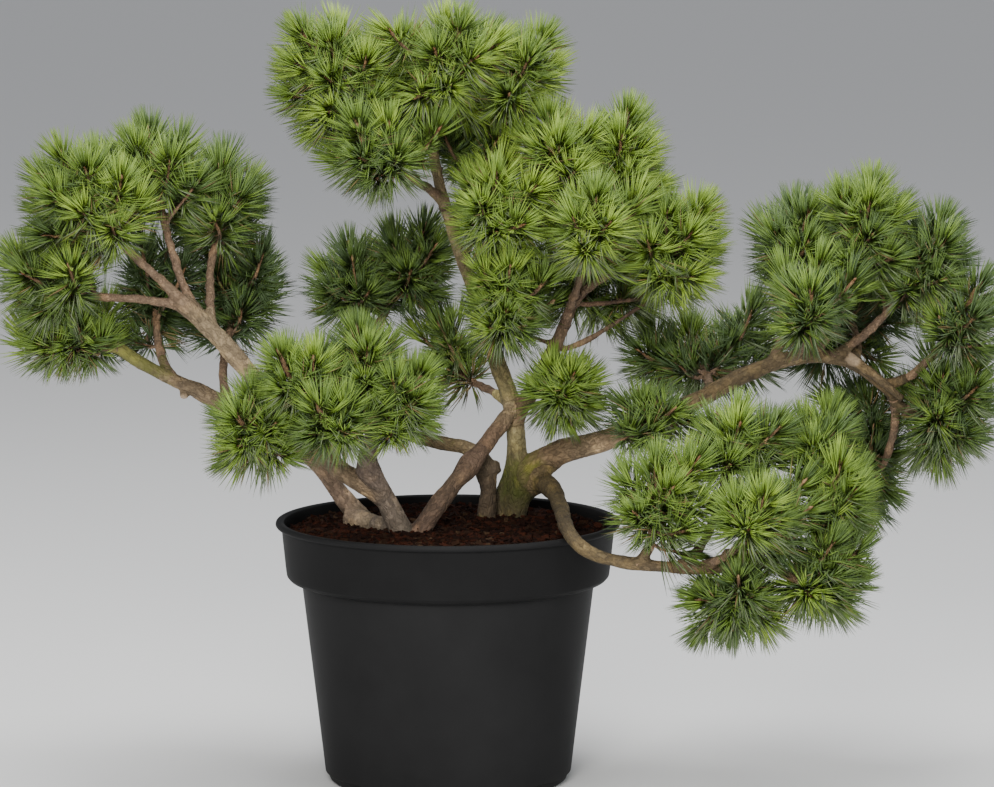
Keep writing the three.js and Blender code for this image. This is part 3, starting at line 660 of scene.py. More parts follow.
def buildBarkPatches():
    # moss and bare wood where the mesh asks for them, and paler lichen in spots
    inputs = {"Vector": "Vector", "Colour": "Color", "Tint": "Color", "Moss": "Float", "Bare": "Float"}
    group, given, made = newGroup("barkPatches", inputs, {"Colour": "Color"})
    mossy = mixColour(group, 1.0, given["Tint"], (0.78, 1.12, 0.36), "MULTIPLY")
    patches = noiseAt(group, given["Vector"], 70.0, 6.0, 0.7)["Fac"]
    mossed = combine(group, "MULTIPLY", patches, given["Moss"])
    colour = layOver(group, mossed, [(0.22, 0.0), (0.42, 0.85)], given["Colour"], mossy)
    paler = mixColour(group, 1.0, colour, (1.7, 1.65, 1.5), "MULTIPLY")
    lichen = noiseAt(group, given["Vector"], 55.0, 4.0)["Fac"]
    colour = layOver(group, lichen, [(0.52, 0.0), (0.62, 0.8)], colour, paler)
    group.links.new(mixColour(group, given["Bare"], colour, (0.52, 0.38, 0.25)), made["Colour"])
    return group


barkFlakes = buildBarkFlakes()
barkPatches = buildBarkPatches()


def barkMaterial(name, scale, crackDark, light):
    # the limb's colour, with painted shade and painted light where its route holds them, its masks and its
    # place round and along the limb come from the mesh
    material, tree, shader = newMaterial(name, 0.82)
    place, tint = readPoints(tree, "barkPlace", "Vector"), readPoints(tree, "barkTint", "Color")
    mask = addNode(tree, "ShaderNodeSeparateColor", {"Color": readPoints(tree, "barkMask", "Color")}).outputs
    flakes = useGroup(tree, barkFlakes, Vector=place, Scale=scale)
    shade = rampNode(tree, flakes["Tone"], [(0.3, 0.5), (0.5, 1.0), (0.68, light)])
    colour = mixColour(tree, 1.0, tint, shade, "MULTIPLY")
    colour = layOver(tree, flakes["Crack"], [(0.0, 0.0), (1.0, 0.2)], colour, crackDark)
    colour = layOver(tree, mask["Red"], [(0.0, 0.0), (1.0, 0.18)], colour, crackDark)
    patched = useGroup(tree, barkPatches, Vector=place, Colour=colour, Tint=tint, Moss=mask["Green"],
                       Bare=mask["Blue"])
    tree.links.new(patched["Colour"], shader.inputs["Base Color"])
    roughness = rampNode(tree, flakes["Tone"], [(0.2, 0.95), (0.8, 0.68)])
    tree.links.new(roughness, shader.inputs["Roughness"])
    bumpInto(tree, shader, flakes["Height"], 0.75, 0.0012)
    return material


limbBark = barkMaterial("limb bark", 190.0, (0.050, 0.032, 0.022), 1.65)
twigBark = barkMaterial("twig bark", 330.0, (0.060, 0.036, 0.022), 1.35)
print("bark materials made")


# bark on the limbs

bark = {
    "voxel": 1.92, "smoothing": 3, "sides": 18, "thinSides": 12, "thinRings": 12,
    # what lies under the soil near a route's start is left out, and so is what lies in the limb it leaves
    "lowest": 287, "aboveSoil": 0.3, "starts": {"right": 36.4, "left": 28, "upper": 26.6, "low": 40},
    "tapers": {"diagonal": (0.9, 0.75, 0.5)},
    # each bough's seat: the limb that it leaves, how far along that, and its length in the bough
    "seats": {"right": ("trunk", 0.07, 52), "left": ("front", 0.22, 40), "upper": ("trunk", 0.2, 38)},
    "seatBend": (0.4, 12), "seatInLimb": 0.85, "seatInBough": 0.98,
    # where the stem of a mass leaves its limb
    "collarLength": 34, "collarShare": 0.5, "collarRadii": (7.2, 5.04), "collarRings": 7,
    # sawn stubs: limb, share along it, way, length beyond the bark, radius
    "stubs": [("side", 0.76, (-0.1, -0.5, -0.85), 8, 5), ("rear", 0.2, (0.95, -0.2, 0.3), 4, 8),
              ("diagonal", 0.53, (-0.4, -0.9, -0.1), 3.5, 9)],
    "stubFoot": 1.3, "stubRings": 4,
    # the skin: plates with cracks between them, lumps and fine grain, shallower in the crotches
    "plate": 5.5, "plateHeight": 0.2, "crackWidth": 0.28, "lump": 22, "lumpHeight": 1.5, "lumpTint": 0.18,
    "fine": 3.4, "fineHeight": 0.38, "lift": 0.3, "crotch": 9, "stretch": 1.5, "cleft": 0.8,
    "samples": 120, "nearest": 8, "blendRange": 0.002,
    "ragged": 0.175, "stubPale": 1.2, "paleForce": 2, "palest": 0.8,
    # short wood beside the limbs: the spread of the feet, a second limb on the right and bare twigs
    "extras": [
        ([(-116, 14, 305), (-93, -6, 302), (-62, -36, 299)], 13, 11),
        ([(76, 68, 296), (84, 64, 328), (101, 57, 352), (124, 52, 370)], 15, 14),
        ([(66, 70, 288), (77, 68, 314), (103, 58, 340)], 13, 12),
        ([(94, 64, 334), (110, 48, 341), (120, 6, 339)], 13, 11.5),
        ([(50, 74, 284), (64, 73, 322), (76, 72, 362)], 12, 8),
        ([(462, 16, 494), (498, 6, 468), (526, 10, 444)], 6.5, 4),
        ([(132, 45, 497), (160, 52, 507), (195, 55, 528), (236, 52, 556)], 3.4, 2.2),
        ([(146, 38, 552), (176, 48, 551), (224, 50, 557)], 3.2, 2.2),
        ([(126, 48, 504), (110, 46, 508), (92, 40, 516)], 3.2, 2.4),
    ],
    "paleSpots": [((468, 9, 491), 9)],
}


def addTube(bm, points, radii, sides):
    # a circle carried along the path by extruding its edges, then closed
    directions = unit(np.gradient(points, axis=0))
    across = sidesAlong(directions)
    frames = []
    for point, direction, side, radius in zip(points, directions, across, radii):
        over = np.cross(direction, side)
        turn = Matrix((side * radius, over * radius, direction * radius)).transposed().to_4x4()
        turn.translation = Vector(point)
        frames.append(turn)
    ring = bmesh.ops.create_circle(bm, cap_ends=False, radius=1, segments=sides)["verts"]
    bmesh.ops.transform(bm, matrix=frames[0], verts=ring)
    edges = list({edge for vert in ring for edge in vert.link_edges})
    firstEdges = edges
    for before, after in zip(frames, frames[1:]):
        made = bmesh.ops.extrude_edge_only(bm, edges=edges)["geom"]
        ring = [item for item in made if isinstance(item, bmesh.types.BMVert)]
        edges = [item for item in made if isinstance(item, bmesh.types.BMEdge)
                 and item.verts[0] in ring and item.verts[1] in ring]
        bmesh.ops.transform(bm, matrix=after @ before.inverted(), verts=ring)
    bmesh.ops.edgeloop_fill(bm, edges=firstEdges)
    bmesh.ops.edgeloop_fill(bm, edges=edges)


def addSeat(bm, name, parent, at, length):
    # the wood that widens from a limb into the bough that leaves it
    limb, bough, share = paths[parent], paths[name], length / paths[name]["length"]
    curve = bendPath(pointsAt(limb, at), directionsAt(limb, at), pointsAt(bough, share),
                     directionsAt(bough, share), *bark["seatBend"])["points"]
    thick = routeRadius(parent, at) * bark["seatInLimb"]
    thin = routeRadius(name, share) * bark["seatInBough"]
    addTube(bm, curve, np.linspace(thick, thin, len(curve)), bark["sides"])


def stubLine(name, at, way, length, radius):
    # from the middle of the limb to the cut
    start = pointsAt(paths[name], at)
    return start, start + unit(np.array(way)) * (length + routeRadius(name, at))


def buildLimbs():
    bm = bmesh.new()
    for name, path in paths.items():
        shares = sharesAlong(path, bark["starts"].get(name, 0) / path["length"])
        points, radii = pointsAt(path, shares), routeRadius(name, shares)
        radii[-3:] *= bark["tapers"].get(name, 1)
        keep = (points[:, 2] > bark["lowest"]) | (shares > bark["aboveSoil"])
        addTube(bm, points[keep], radii[keep], bark["sides"])
    for name, seat in bark["seats"].items():
        addSeat(bm, name, *seat)
    for stub in bark["stubs"]:
        rings = bark["stubRings"]
        radii = np.linspace(bark["stubFoot"], 1, rings) * stub[-1]
        addTube(bm, np.linspace(*stubLine(*stub), rings), radii, bark["thinSides"])
    for stations, thick, thin in bark["extras"]:
        shares = np.linspace(0, 1, bark["thinRings"])
        radii = thick + (thin - thick) * shares
        addTube(bm, pointsAt(routePath(stations), shares), radii, bark["thinSides"])
    for cell in cells.values():
        stem, rings = cell["shoots"][0]["path"], bark["collarRings"]
        length = min(bark["collarLength"], bark["collarShare"] * stem["length"])
        points = pointsAt(stem, np.linspace(0, length / stem["length"], rings))
        addTube(bm, points, np.linspace(*bark["collarRadii"], rings), bark["thinSides"])
    bmesh.ops.scale(bm, vec=(mm, mm, mm), verts=bm.verts)
    bmesh.ops.recalc_face_normals(bm, faces=bm.faces)
    shape = addPiece("rough limbs", meshFromForm("rough limbs", bm))
    remesh = shape.modifiers.new("one skin", "REMESH")
    remesh.mode = "VOXEL"
    remesh.voxel_size = bark["voxel"] * mm
    mesh = modifiedMesh(shape, limbBark)
    bm = bmesh.new()
    bm.from_mesh(mesh)
    for _ in range(bark["smoothing"]):
        bmesh.ops.smooth_vert(bm, verts=bm.verts, factor=0.5, use_axis_x=True, use_axis_y=True,
                              use_axis_z=True)
    bm.normal_update()
    bm.to_mesh(mesh)
    bm.free()
    mesh.name = "bark"
    return mesh


def limbSamples():
    # points down every limb: its name, the share, the place, two directions there and the colour
    samples = []
    for name, path in paths.items():
        shares = np.linspace(0, 1, bark["samples"])
        directions = directionsAt(path, shares)
        stops, colours = zip(*routes[name]["bark"])
        tints = np.stack([np.interp(shares, stops, channel) for channel in zip(*colours)], axis=-1)
        samples += zip([name] * len(shares), shares, pointsAt(path, shares), directions,
                       sidesAlong(directions), tints)
    return samples


def baredAt(name, place, fine, cuts):
    # how bare the wood is: raggedly at the worn spots of its limb, and at the cuts
    bare = 0
    for at, width in routes[name].get("pale", []):
        away = np.linalg.norm(place - pointsAt(paths[name], at))
        bare = max(bare, 1 - away / width - bark["ragged"] * (fine + 1))
    for end, radius in cuts:
        bare = max(bare, bark["stubPale"] - np.linalg.norm(place - end) / radius)
    return max(0, min(bark["palest"], bare * bark["paleForce"]))


def dressBark(mesh):
    # relief along the normals, and each point's place on its limb, colour, cleft, moss and bare wood
    places, normals = np.empty((2, len(mesh.vertices) * 3))
    mesh.vertices.foreach_get("co", places)
    mesh.vertices.foreach_get("normal", normals)
    places, normals = places.reshape(-1, 3), normals.reshape(-1, 3)
    samples = limbSamples()
    tree = kdtree.KDTree(len(samples))
    for i, sample in enumerate(samples):
        tree.insert(sample[2] * mm, i)
    tree.balance()
    cuts = [(stubLine(*stub)[1], stub[-1]) for stub in bark["stubs"] if stub[-2] > stub[-1]]
    cuts += bark["paleSpots"]
    spots, tints, masks = np.empty((3, *places.shape))
    heights = np.empty((len(places), 1))
    for i, place in enumerate(places / mm):
        near, far = noise.voronoi(Vector(place) / bark["plate"])[0][:2]
        crack = 1 - min(1, (far - near) / bark["crackWidth"])
        lump = noise.noise(Vector(place) / bark["lump"])
        fine = noise.noise(Vector(place) / bark["fine"])
        nearest = tree.find_n(Vector(place) * mm, bark["nearest"])
        name, share, middle, direction, side = samples[nearest[0][1]][:-1]
        relief = (lump * bark["lumpHeight"] - crack * bark["plateHeight"]
                  + fine * bark["fineHeight"] + bark["lift"])
        heights[i] = min(1, nearest[0][2] / mm / bark["crotch"]) * relief
        weights = [1 / (item[2] + bark["blendRange"]) ** 2 for item in nearest]
        tint = sum(samples[item[1]][-1] * weight for item, weight in zip(nearest, weights)) / sum(weights)
        tints[i] = tint * (1 + bark["lumpTint"] * lump)
        offset = place - middle
        along = share * paths[name]["length"] + np.dot(offset, direction)
        over = np.cross(direction, side)
        spots[i] = (np.dot(offset, side), np.dot(offset, over), along / bark["stretch"])
        moss = sum(force * math.exp(-((share - at) / width) ** 2)
                   for at, width, force in routes[name].get("moss", []))
        masks[i] = (crack * bark["cleft"], min(1, moss), baredAt(name, place, fine, cuts))
    mesh.vertices.foreach_set("co", (places + normals * heights * mm).ravel())
    dressPoints(mesh, spots, tints, masks)
    mesh.update()


barkMesh = buildLimbs()
dressBark(barkMesh)
finishPiece(addPiece("bark", barkMesh), limbs.keys())
print("bark", 2 * len(barkMesh.polygons), "triangles")


# twigs and buds

# radii, then the rings' spacing, the sides and how far a ring strays
twigs = {
    "stem": {"thick": 5.6, "thin": 2.6, "ring": 7, "sides": 9, "stray": 0.5},
    "twig": {"thick": 2.5, "thin": 1.7, "ring": 8, "sides": 6, "stray": 0},
    "taper": 0.8, "collar": 0.35, "collarLength": 6, "bumps": 0.09, "mostBump": 1.5, "end": 0.995,
    "young": (0.205, 0.115, 0.055), "old": (0.215, 0.140, 0.088), "youngFrom": 0.35, "youngOver": 0.5,
}
buds = {
    "profile": [(-0.1, 0.55), (0.3, 1.0), (0.7, 0.85), (1.0, 0.15)], "length": 9, "radius": 2.0, "sides": 5,
    "most": 3, "lean": 0.35, "sizes": (0.8, 1.15), "sideSize": 0.6,
}


def buildTwigs():
    rng = np.random.default_rng(11)
    parts, tints = [], []
    for shoot in (shoot for cell in cells.values() for shoot in cell["shoots"]):
        path = shoot["path"]
        look = twigs["stem" if shoot["kind"] == "stem" else "twig"]
        rings = int(path["length"] / look["ring"]) + 3
        shares = np.linspace(0, twigs["end"], rings)
        radii = look["thin"] + (look["thick"] - look["thin"]) * (1 - shares) ** twigs["taper"]
        radii = radii * (1 + twigs["collar"] * np.exp(-shares * path["length"] / twigs["collarLength"]))
        bumps = rng.normal(0, 1, rings).clip(-twigs["mostBump"], twigs["mostBump"])
        points = pointsAt(path, shares)
        if look["stray"]:
            points = points + rng.normal(0, look["stray"], points.shape)
        parts.append((*tubeArrays(points, radii * (1 + twigs["bumps"] * bumps), look["sides"]), 0))
        age = np.concatenate([np.repeat(shares, look["sides"]), [0, 1]])[:, None]
        young = np.clip((age - twigs["youngFrom"]) / twigs["youngOver"], 0, 1)
        tints.append(np.array(twigs["old"]) * (1 - young) + np.array(twigs["young"]) * young)
    verts, tris, slots = joinArrays(parts)
    piece = meshFromArrays("twigs", verts, tris, slots, [twigBark])
    dressPoints(piece.data, verts, np.concatenate(tints), np.zeros_like(verts))
    return piece


def buildBuds():
    rng = np.random.default_rng(12)
    heights, profile = np.array(buds["profile"]).T
    parts = []
    for shoot in (shoot for cell in cells.values() for shoot in cell["shoots"] if shoot["kind"] != "inner"):
        tip, axis = pointsAt(shoot["path"], 1), directionsAt(shoot["path"], 0.99)
        for k in range(1 + rng.integers(0, buds["most"])):
            lean = unit(axis + rng.normal(0, buds["lean"], 3)) if k else axis
            size = rng.uniform(*buds["sizes"]) * (buds["sideSize"] if k else 1)
            points = tip + lean * heights[:, None] * buds["length"] * size
            verts, tris = tubeArrays(points, profile * buds["radius"] * size, buds["sides"])
            parts.append((verts, tris, rng.integers(0, 2)))
    return meshFromArrays("buds", *joinArrays(parts), [budBrown, budTan])


def budMaterial(name, dark, light):
    material, tree, shader = newMaterial(name, 0.55)
    scales = addNode(tree, "ShaderNodeTexVoronoi", {"Vector": objectPlace(tree), "Scale": 750.0})
    tree.links.new(mixColour(tree, scales.outputs["Distance"], dark, light), shader.inputs["Base Color"])
    bumpInto(tree, shader, scales.outputs["Distance"], 0.5, 0.0006)
    return material


budBrown = budMaterial("bud brown", (0.17, 0.065, 0.027), (0.32, 0.165, 0.075))
budTan = budMaterial("bud tan", (0.25, 0.13, 0.060), (0.45, 0.28, 0.14))
finishPiece(buildTwigs())
finishPiece(buildBuds())


# needles

needles = {
    "perShoot": 236, "perInner": 140, "behindShare": 0.8, "bundle": 4, "perPiece": 5,
    # down the shoot, and how they lean: forward at its tip, out at its foot
    "run": 40, "runShare": 0.8, "runRange": (0.85, 1.15), "towardsTip": 1.1, "turnStray": 0.3,
    "leanTip": 12, "leanBase": 98, "leanRise": 0.7, "jitter": 10, "spread": 0.085, "bend": 0.13,
    "length": 54, "lengthRange": (0.84, 1.08), "bundleRange": (0.9, 1.03), "tipShorter": 0.22,
    # shortened in steps to end in the crown, and left out if too short or too near a limb or the pot
    "trims": 9, "trim": 0.93, "shortest": 0.6, "probes": (0.35, 0.7, 1.0), "limbRoom": 0.6,
    "potRadius": 203, "potTop": 310,
    # thin at its foot, thickest near the middle and pointed
    "width": 1.6, "widthRange": (0.85, 1.15), "thickest": 0.45, "thickestBend": 0.2, "thickRadius": 0.55,
    "faces": [(0, 2, 1), (0, 3, 2), (0, 1, 3), (1, 2, 4), (2, 3, 4), (3, 1, 4)],
    # greens from the lightest to the darkest, dealt as steps of painted shade, then pale undersides and dry
    # needles
    "tones": [("fresh", (0.276, 0.398, 0.052)), ("bright", (0.200, 0.306, 0.040)),
              ("mid", (0.143, 0.230, 0.032)), ("deep", (0.103, 0.171, 0.029)),
              ("shade", (0.075, 0.128, 0.030)), ("dim", (0.056, 0.097, 0.030)),
              ("grey", (0.190, 0.235, 0.125)), ("dry", (0.215, 0.150, 0.060))],
    # in tones of painted shade: how much darker a cloud, a mass, a shoot and the foot of a shoot are than the
    # lightest; at the foot, older needles are also darker
    "cloudShade": {"top": 0.5, "upper": 0.1, "middle": 0.2, "left": 1.2, "front": 1, "right": 1.8,
                   "low": 1.5},
    "darkShade": 0.8, "backLight": 2.2, "nearShade": 0.4, "shootShades": (0, 0.6, 1.2, 2), "innerShade": 0.8,
    "bundleShades": (-1, 0, 0, 1), "footShade": 1, "footFrom": 0.6, "darkest": 5, "paleTone": 6, "dryTone": 7,
    "hanging": -0.3, "paleShare": 0.4, "dryInside": 0.35, "dryOutside": 0.04, "dryFrom": 0.4,
}


def needleMaterial(tone, colour):
    return newMaterial("needles " + tone, 0.48, Base_Color=(*colour, 1), Specular_IOR_Level=0.4)[0]


needleMaterials = [needleMaterial(tone, colour) for tone, colour in needles["tones"]]


def sproutNeedles(rng, cell, shoot):
    # bundles of needles round the end of a shoot, before they are trimmed
    path, bundle = shoot["path"], needles["bundle"]
    count = needles["perInner" if shoot["kind"] == "inner" else "perShoot"]
    count = int(count * (needles["behindShare"] if cell["dark"] > 1 else 1)) // bundle
    run = min(needles["run"] * rng.uniform(*needles["runRange"]), needles["runShare"] * path["length"])
    down = ((np.arange(count) + rng.random(count)) / count) ** needles["towardsTip"]
    shares = 1 - (down * run + 0.5) / path["length"]
    roots, axes = pointsAt(path, shares), directionsAt(path, shares)
    around = np.arange(count) * goldenAngle + rng.normal(0, needles["turnStray"], count)
    lean = needles["leanTip"] + (needles["leanBase"] - needles["leanTip"]) * down ** needles["leanRise"]
    lean = np.radians(lean + rng.normal(0, needles["jitter"], count))
    across = unit(np.cross(axes, aslant))
    out = across * np.cos(around)[:, None] + np.cross(axes, across) * np.sin(around)[:, None]
    ways = axes * np.cos(lean)[:, None] + out * np.sin(lean)[:, None]
    lengths = needles["length"] * rng.uniform(*needles["lengthRange"], count)
    lengths = lengths * (1 - needles["tipShorter"] * (1 - down) ** 3)
    shades = rng.choice(needles["bundleShades"], count)
    shades = shades + np.where(down > needles["footFrom"], needles["footShade"], 0)
    roots, axes, ways, lengths, down, shades = (
        np.repeat(item, bundle, axis=0) for item in (roots, axes, ways, lengths, down, shades))
    ways = unit(ways + rng.normal(0, needles["spread"], ways.shape))
    lengths = lengths * rng.uniform(*needles["bundleRange"], len(lengths))
    bends = unit(axes - ways * (axes * ways).sum(axis=1)[:, None]) * lengths[:, None] * needles["bend"]
    return roots, ways, bends, lengths, down, shades


def trimNeedles(cell, roots, ways, bends, lengths, *others):
    full = lengths
    for _ in range(needles["trims"]):
        tips = roots + ways * lengths[:, None] + bends
        lengths = np.where(insideCrown(cell, tips), lengths, lengths * needles["trim"])
    tips = roots + ways * lengths[:, None] + bends
    keep = lengths > needles["shortest"] * full
    for share in needles["probes"]:
        keep &= roomToLimbs(roots + (tips - roots) * share) > needles["limbRoom"]
    keep &= (np.hypot(tips[:, 0], tips[:, 1]) >= needles["potRadius"]) | (tips[:, 2] >= needles["potTop"])
    return [item[keep] for item in (roots, tips, ways, bends, lengths, *others)]


def needleSlots(rng, cell, shoot, ways, down, shades):
    turnedAway = max(0, directionsAt(shoot["path"], 0.99)[1])
    behind, inner = cell["dark"] > 1, shoot["kind"] == "inner"
    dark = cell["dark"] - needles["backLight"] * turnedAway * behind
    shade = needles["darkShade"] * dark + needles["cloudShade"][cell["cloud"]]
    shade += rng.choice(needles["shootShades"]) + (needles["innerShade"] if inner else 0)
    shade += 0 if behind else needles["nearShade"]
    slots = np.clip(int(shade) + shades, 0, needles["darkest"])
    # needles that hang show their pale undersides
    pale = (ways[:, 2] < needles["hanging"]) & (rng.random(len(ways)) < needles["paleShare"])
    slots = np.where(pale & (cell["dark"] < 3), needles["paleTone"], slots)
    dry = rng.random(len(ways)) < needles["dryInside" if inner else "dryOutside"]
    return np.where(dry & (down > needles["dryFrom"]), needles["dryTone"], slots)


def needleArrays(rng, cell, shoot):
    roots, tips, ways, bends, lengths, down, shades = trimNeedles(cell, *sproutNeedles(rng, cell, shoot))
    count = len(roots)
    across = unit(np.cross(ways, rng.normal(0, 1, (count, 3))))
    over = np.cross(ways, across)
    radii = needles["thickRadius"] * needles["width"] * rng.uniform(*needles["widthRange"], count)
    middles = roots + ways * (lengths * needles["thickest"])[:, None] + bends * needles["thickestBend"]
    rings = [middles + (across * math.cos(angle) + over * math.sin(angle)) * radii[:, None]
             for angle in (0, fullTurn / 3, fullTurn * 2 / 3)]
    verts = np.stack([roots, *rings, tips], axis=1)
    pattern = np.array(needles["faces"])
    tris = (pattern + 5 * np.arange(count)[:, None, None]).reshape(-1, 3)
    slots = needleSlots(rng, cell, shoot, ways, down, shades)
    return verts.reshape(-1, 3), tris, np.repeat(slots, len(pattern))


for cloud, masses in clouds.items():
    names = list(masses)
    for first in range(0, len(names), needles["perPiece"]):
        group = names[first:first + needles["perPiece"]]
        parts = []
        for name in group:
            rng = np.random.default_rng(100 + cells[name]["seed"])
            parts += [needleArrays(rng, cells[name], shoot) for shoot in cells[name]["shoots"]]
        piece = meshFromArrays("needles_" + group[0], *joinArrays(parts), needleMaterials)
        finishPiece(piece, ["foliage_" + name for name in group])


# the pot

pot = {
    "outline": [(0, 0), (134, 0), (138, 3), (139, 9), (143, 11), (169.5, 232), (183.5, 237), (187, 241),
                (188.2, 250), (193, 297), (198.6, 298.2), (200, 300.5), (199.2, 303.6), (196.8, 305),
                (193, 304.6), (190, 303.5), (189.6, 297), (185, 245), (184, 243), (166.5, 236), (135, 10),
                (0, 3)],
    "steps": 128, "bevelFrom": 28, "bevel": 0.9, "smoothTo": 40,
    "holes": 6, "holeRadius": 6, "holeCircle": 112, "drill": 20,
}


def potMaterial():
    material, tree, shader = newMaterial("pot plastic", 0.5, Specular_IOR_Level=0.04)
    place = objectPlace(tree)
    height = addNode(tree, "ShaderNodeSeparateXYZ", {"Vector": place}).outputs["Z"]
    smudges = noiseAt(tree, place, 9.0, 5.0, 0.6)["Fac"]
    colour = layOver(tree, smudges, [(0.35, 0.0), (0.75, 1.0)],
                     (0.0155, 0.0155, 0.0158), (0.0205, 0.0205, 0.0209))
    # a painted highlight along the top of the rim, dust near the ground, and painted shade that makes the
    # band and rim darker than the body below them
    colour = layOver(tree, height, [(0.297, 0.0), (0.304, 0.55)], colour, (0.028, 0.028, 0.029))
    foot = addNode(tree, "ShaderNodeMapRange", {"Value": height, "From Min": 0.05, "From Max": 0.0})
    dust = combine(tree, "MULTIPLY", noiseAt(tree, place, 120.0, 8.0, 0.75)["Fac"], foot.outputs["Result"])
    colour = layOver(tree, dust, [(0.3, 0.0), (0.8, 0.2)], colour, (0.060, 0.052, 0.043))
    # painted shade: the band and rim, above the body, multiplied darker
    paintedBandShade = rampNode(tree, height, [(0.232, 1.0), (0.238, 0.76)])
    tree.links.new(mixColour(tree, 1.0, colour, paintedBandShade, "MULTIPLY"), shader.inputs["Base Color"])
    tree.links.new(rampNode(tree, smudges, [(0.3, 0.48), (0.75, 0.58)]), shader.inputs["Roughness"])
    bumpInto(tree, shader, noiseAt(tree, place, 1600.0, 2.0)["Fac"], 0.25, 0.0003)
    return material


def spinOutline(outline, steps):
    # an open outline turned all round the upright axis
    bm = bmesh.new()
    verts = [bm.verts.new((radius * mm, 0, height * mm)) for radius, height in outline]
    for one, other in zip(verts, verts[1:]):
        bm.edges.new((one, other))
    bmesh.ops.spin(bm, geom=bm.verts[:] + bm.edges[:], cent=(0, 0, 0), axis=(0, 0, 1), dvec=(0, 0, 0),
                   angle=fullTurn, steps=steps, use_merge=True, use_duplicate=False)
    bmesh.ops.remove_doubles(bm, verts=bm.verts, dist=1e-6)
    return bm


def buildPot():
    bm = spinOutline(pot["outline"], pot["steps"])
    bmesh.ops.recalc_face_normals(bm, faces=bm.faces)
    bevelFrom = math.radians(pot["bevelFrom"])
    sharp = [edge for edge in bm.edges if len(edge.link_faces) == 2 and edge.calc_face_angle(0) > bevelFrom]
    bmesh.ops.bevel(bm, geom=sharp, offset=pot["bevel"] * mm, offset_type="OFFSET", segments=3, profile=0.5,
                    affect="EDGES", material=-1, clamp_overlap=True)
    shell = addPiece("pot shell", meshFromForm("pot shell", bm))
    drills = bmesh.new()
    radius = pot["holeRadius"] * mm
    for i in range(pot["holes"]):
        angle = (i + 0.5) * fullTurn / pot["holes"]
        middle = Vector((math.cos(angle), math.sin(angle), 0)) * pot["holeCircle"] * mm
        bmesh.ops.create_cone(drills, cap_ends=True, segments=24, radius1=radius, radius2=radius,
                              depth=pot["drill"] * mm, matrix=Matrix.Translation(middle))
    cutter = addPiece("drills", meshFromForm("drills", drills))
    cut = shell.modifiers.new("drain holes", "BOOLEAN")
    cut.object = cutter
    cut.operation = "DIFFERENCE"
    cut.solver = "EXACT"
    whole = modifiedMesh(shell, potMaterial())
    bpy.data.objects.remove(cutter)
    whole.set_sharp_from_angle(angle=math.radians(pot["smoothTo"]))
    print("pot", len(whole.polygons), "faces")
    return addPiece("pot_plastic", whole)


finishPiece(buildPot(), ["pot"])


# the soil

soil = {
    "radius": 188.6, "edge": 290, "level": 296.5, "levelRadius": 158, "rings": 90, "steps": 220,
    "foot": 250, "footShare": 0.965, "clod": 13, "clodHeight": 2.52, "crumb": 4.5, "crumbHeight": 1.8,
    # mounds round the feet of the stems
    "feet": [(73, 72), (98, 66), (-43, -57), (-90, 16), (43, 48)], "moundWidth": 30, "moundHeight": 3.5,
    "chips": 3600, "chipEdge": 5, "chipSizes": (1.6, 5.5), "widths": (0.35, 0.8), "heights": (0.18, 0.45),
    "uneven": 0.25, "spin": 6.28, "leans": [("X", 0.45), ("Y", 0.35)], "chipLift": 0.2,
}


def soilHeight(x, y):
    slope = max(0, (math.hypot(x, y) - soil["levelRadius"]) / (soil["radius"] - soil["levelRadius"]))
    base = soil["level"] + (soil["edge"] - soil["level"]) * slope
    clods = noise.noise(Vector((x, y, 0)) / soil["clod"]) * soil["clodHeight"]
    crumbs = noise.noise(Vector((x, y, 50)) / soil["crumb"]) * soil["crumbHeight"]
    mound = max(math.exp(-math.hypot(x - a, y - b) ** 2 / soil["moundWidth"] ** 2) for a, b in soil["feet"])
    return base + clods + crumbs + mound * soil["moundHeight"]


def buildSoilGrain():
    # crumbs between two colours, and darker blotches
    group, given, made = newGroup("soilGrain", {"Vector": "Vector", "Dark": "Color", "Light": "Color"},
                                  {"Colour": "Color", "Height": "Float"})
    crumbs = noiseAt(group, given["Vector"], 260.0, 7.0, 0.75)["Fac"]
    blotch = noiseAt(group, given["Vector"], 34.0, 4.0)["Fac"]
    colour = layOver(group, crumbs, [(0.3, 0.0), (0.72, 1.0)], given["Dark"], given["Light"])
    colour = layOver(group, blotch, [(0.4, 0.0), (0.65, 0.55)], colour, given["Dark"])
    group.links.new(colour, made["Colour"])
    group.links.new(crumbs, made["Height"])
    return group


soilGrain = buildSoilGrain()


def soilMaterial(name, dark, light):
    material, tree, shader = newMaterial(name, 0.95, Specular_IOR_Level=0.12)
    grain = useGroup(tree, soilGrain, Vector=objectPlace(tree), Dark=(*dark, 1), Light=(*light, 1))
    tree.links.new(grain["Colour"], shader.inputs["Base Color"])
    bumpInto(tree, shader, grain["Height"], 0.8, 0.002)
    return material


def buildSoil():
    rings = np.linspace(0, soil["radius"], soil["rings"] + 1)
    bm = spinOutline([(radius, soil["level"]) for radius in rings], soil["steps"])
    for vert in bm.verts:
        vert.co.z = soilHeight(vert.co.x / mm, vert.co.y / mm) * mm
    rim = [edge for edge in bm.edges if len(edge.link_faces) == 1]
    made = bmesh.ops.extrude_edge_only(bm, edges=rim)["geom"]
    low = [item for item in made if isinstance(item, bmesh.types.BMVert)]
    for vert in low:
        vert.co = (vert.co.x * soil["footShare"], vert.co.y * soil["footShare"], soil["foot"] * mm)
    edges = [item for item in made if isinstance(item, bmesh.types.BMEdge)]
    bmesh.ops.edgeloop_fill(bm, edges=[edge for edge in edges if all(vert in low for vert in edge.verts)])
    bmesh.ops.recalc_face_normals(bm, faces=bm.faces)
    mesh = meshFromForm("soil_bed", bm, smooth=True)
    mesh.materials.append(soilMaterial("peat", (0.008, 0.0032, 0.0020), (0.038, 0.0125, 0.0068)))
    return addPiece("soil_bed", mesh)


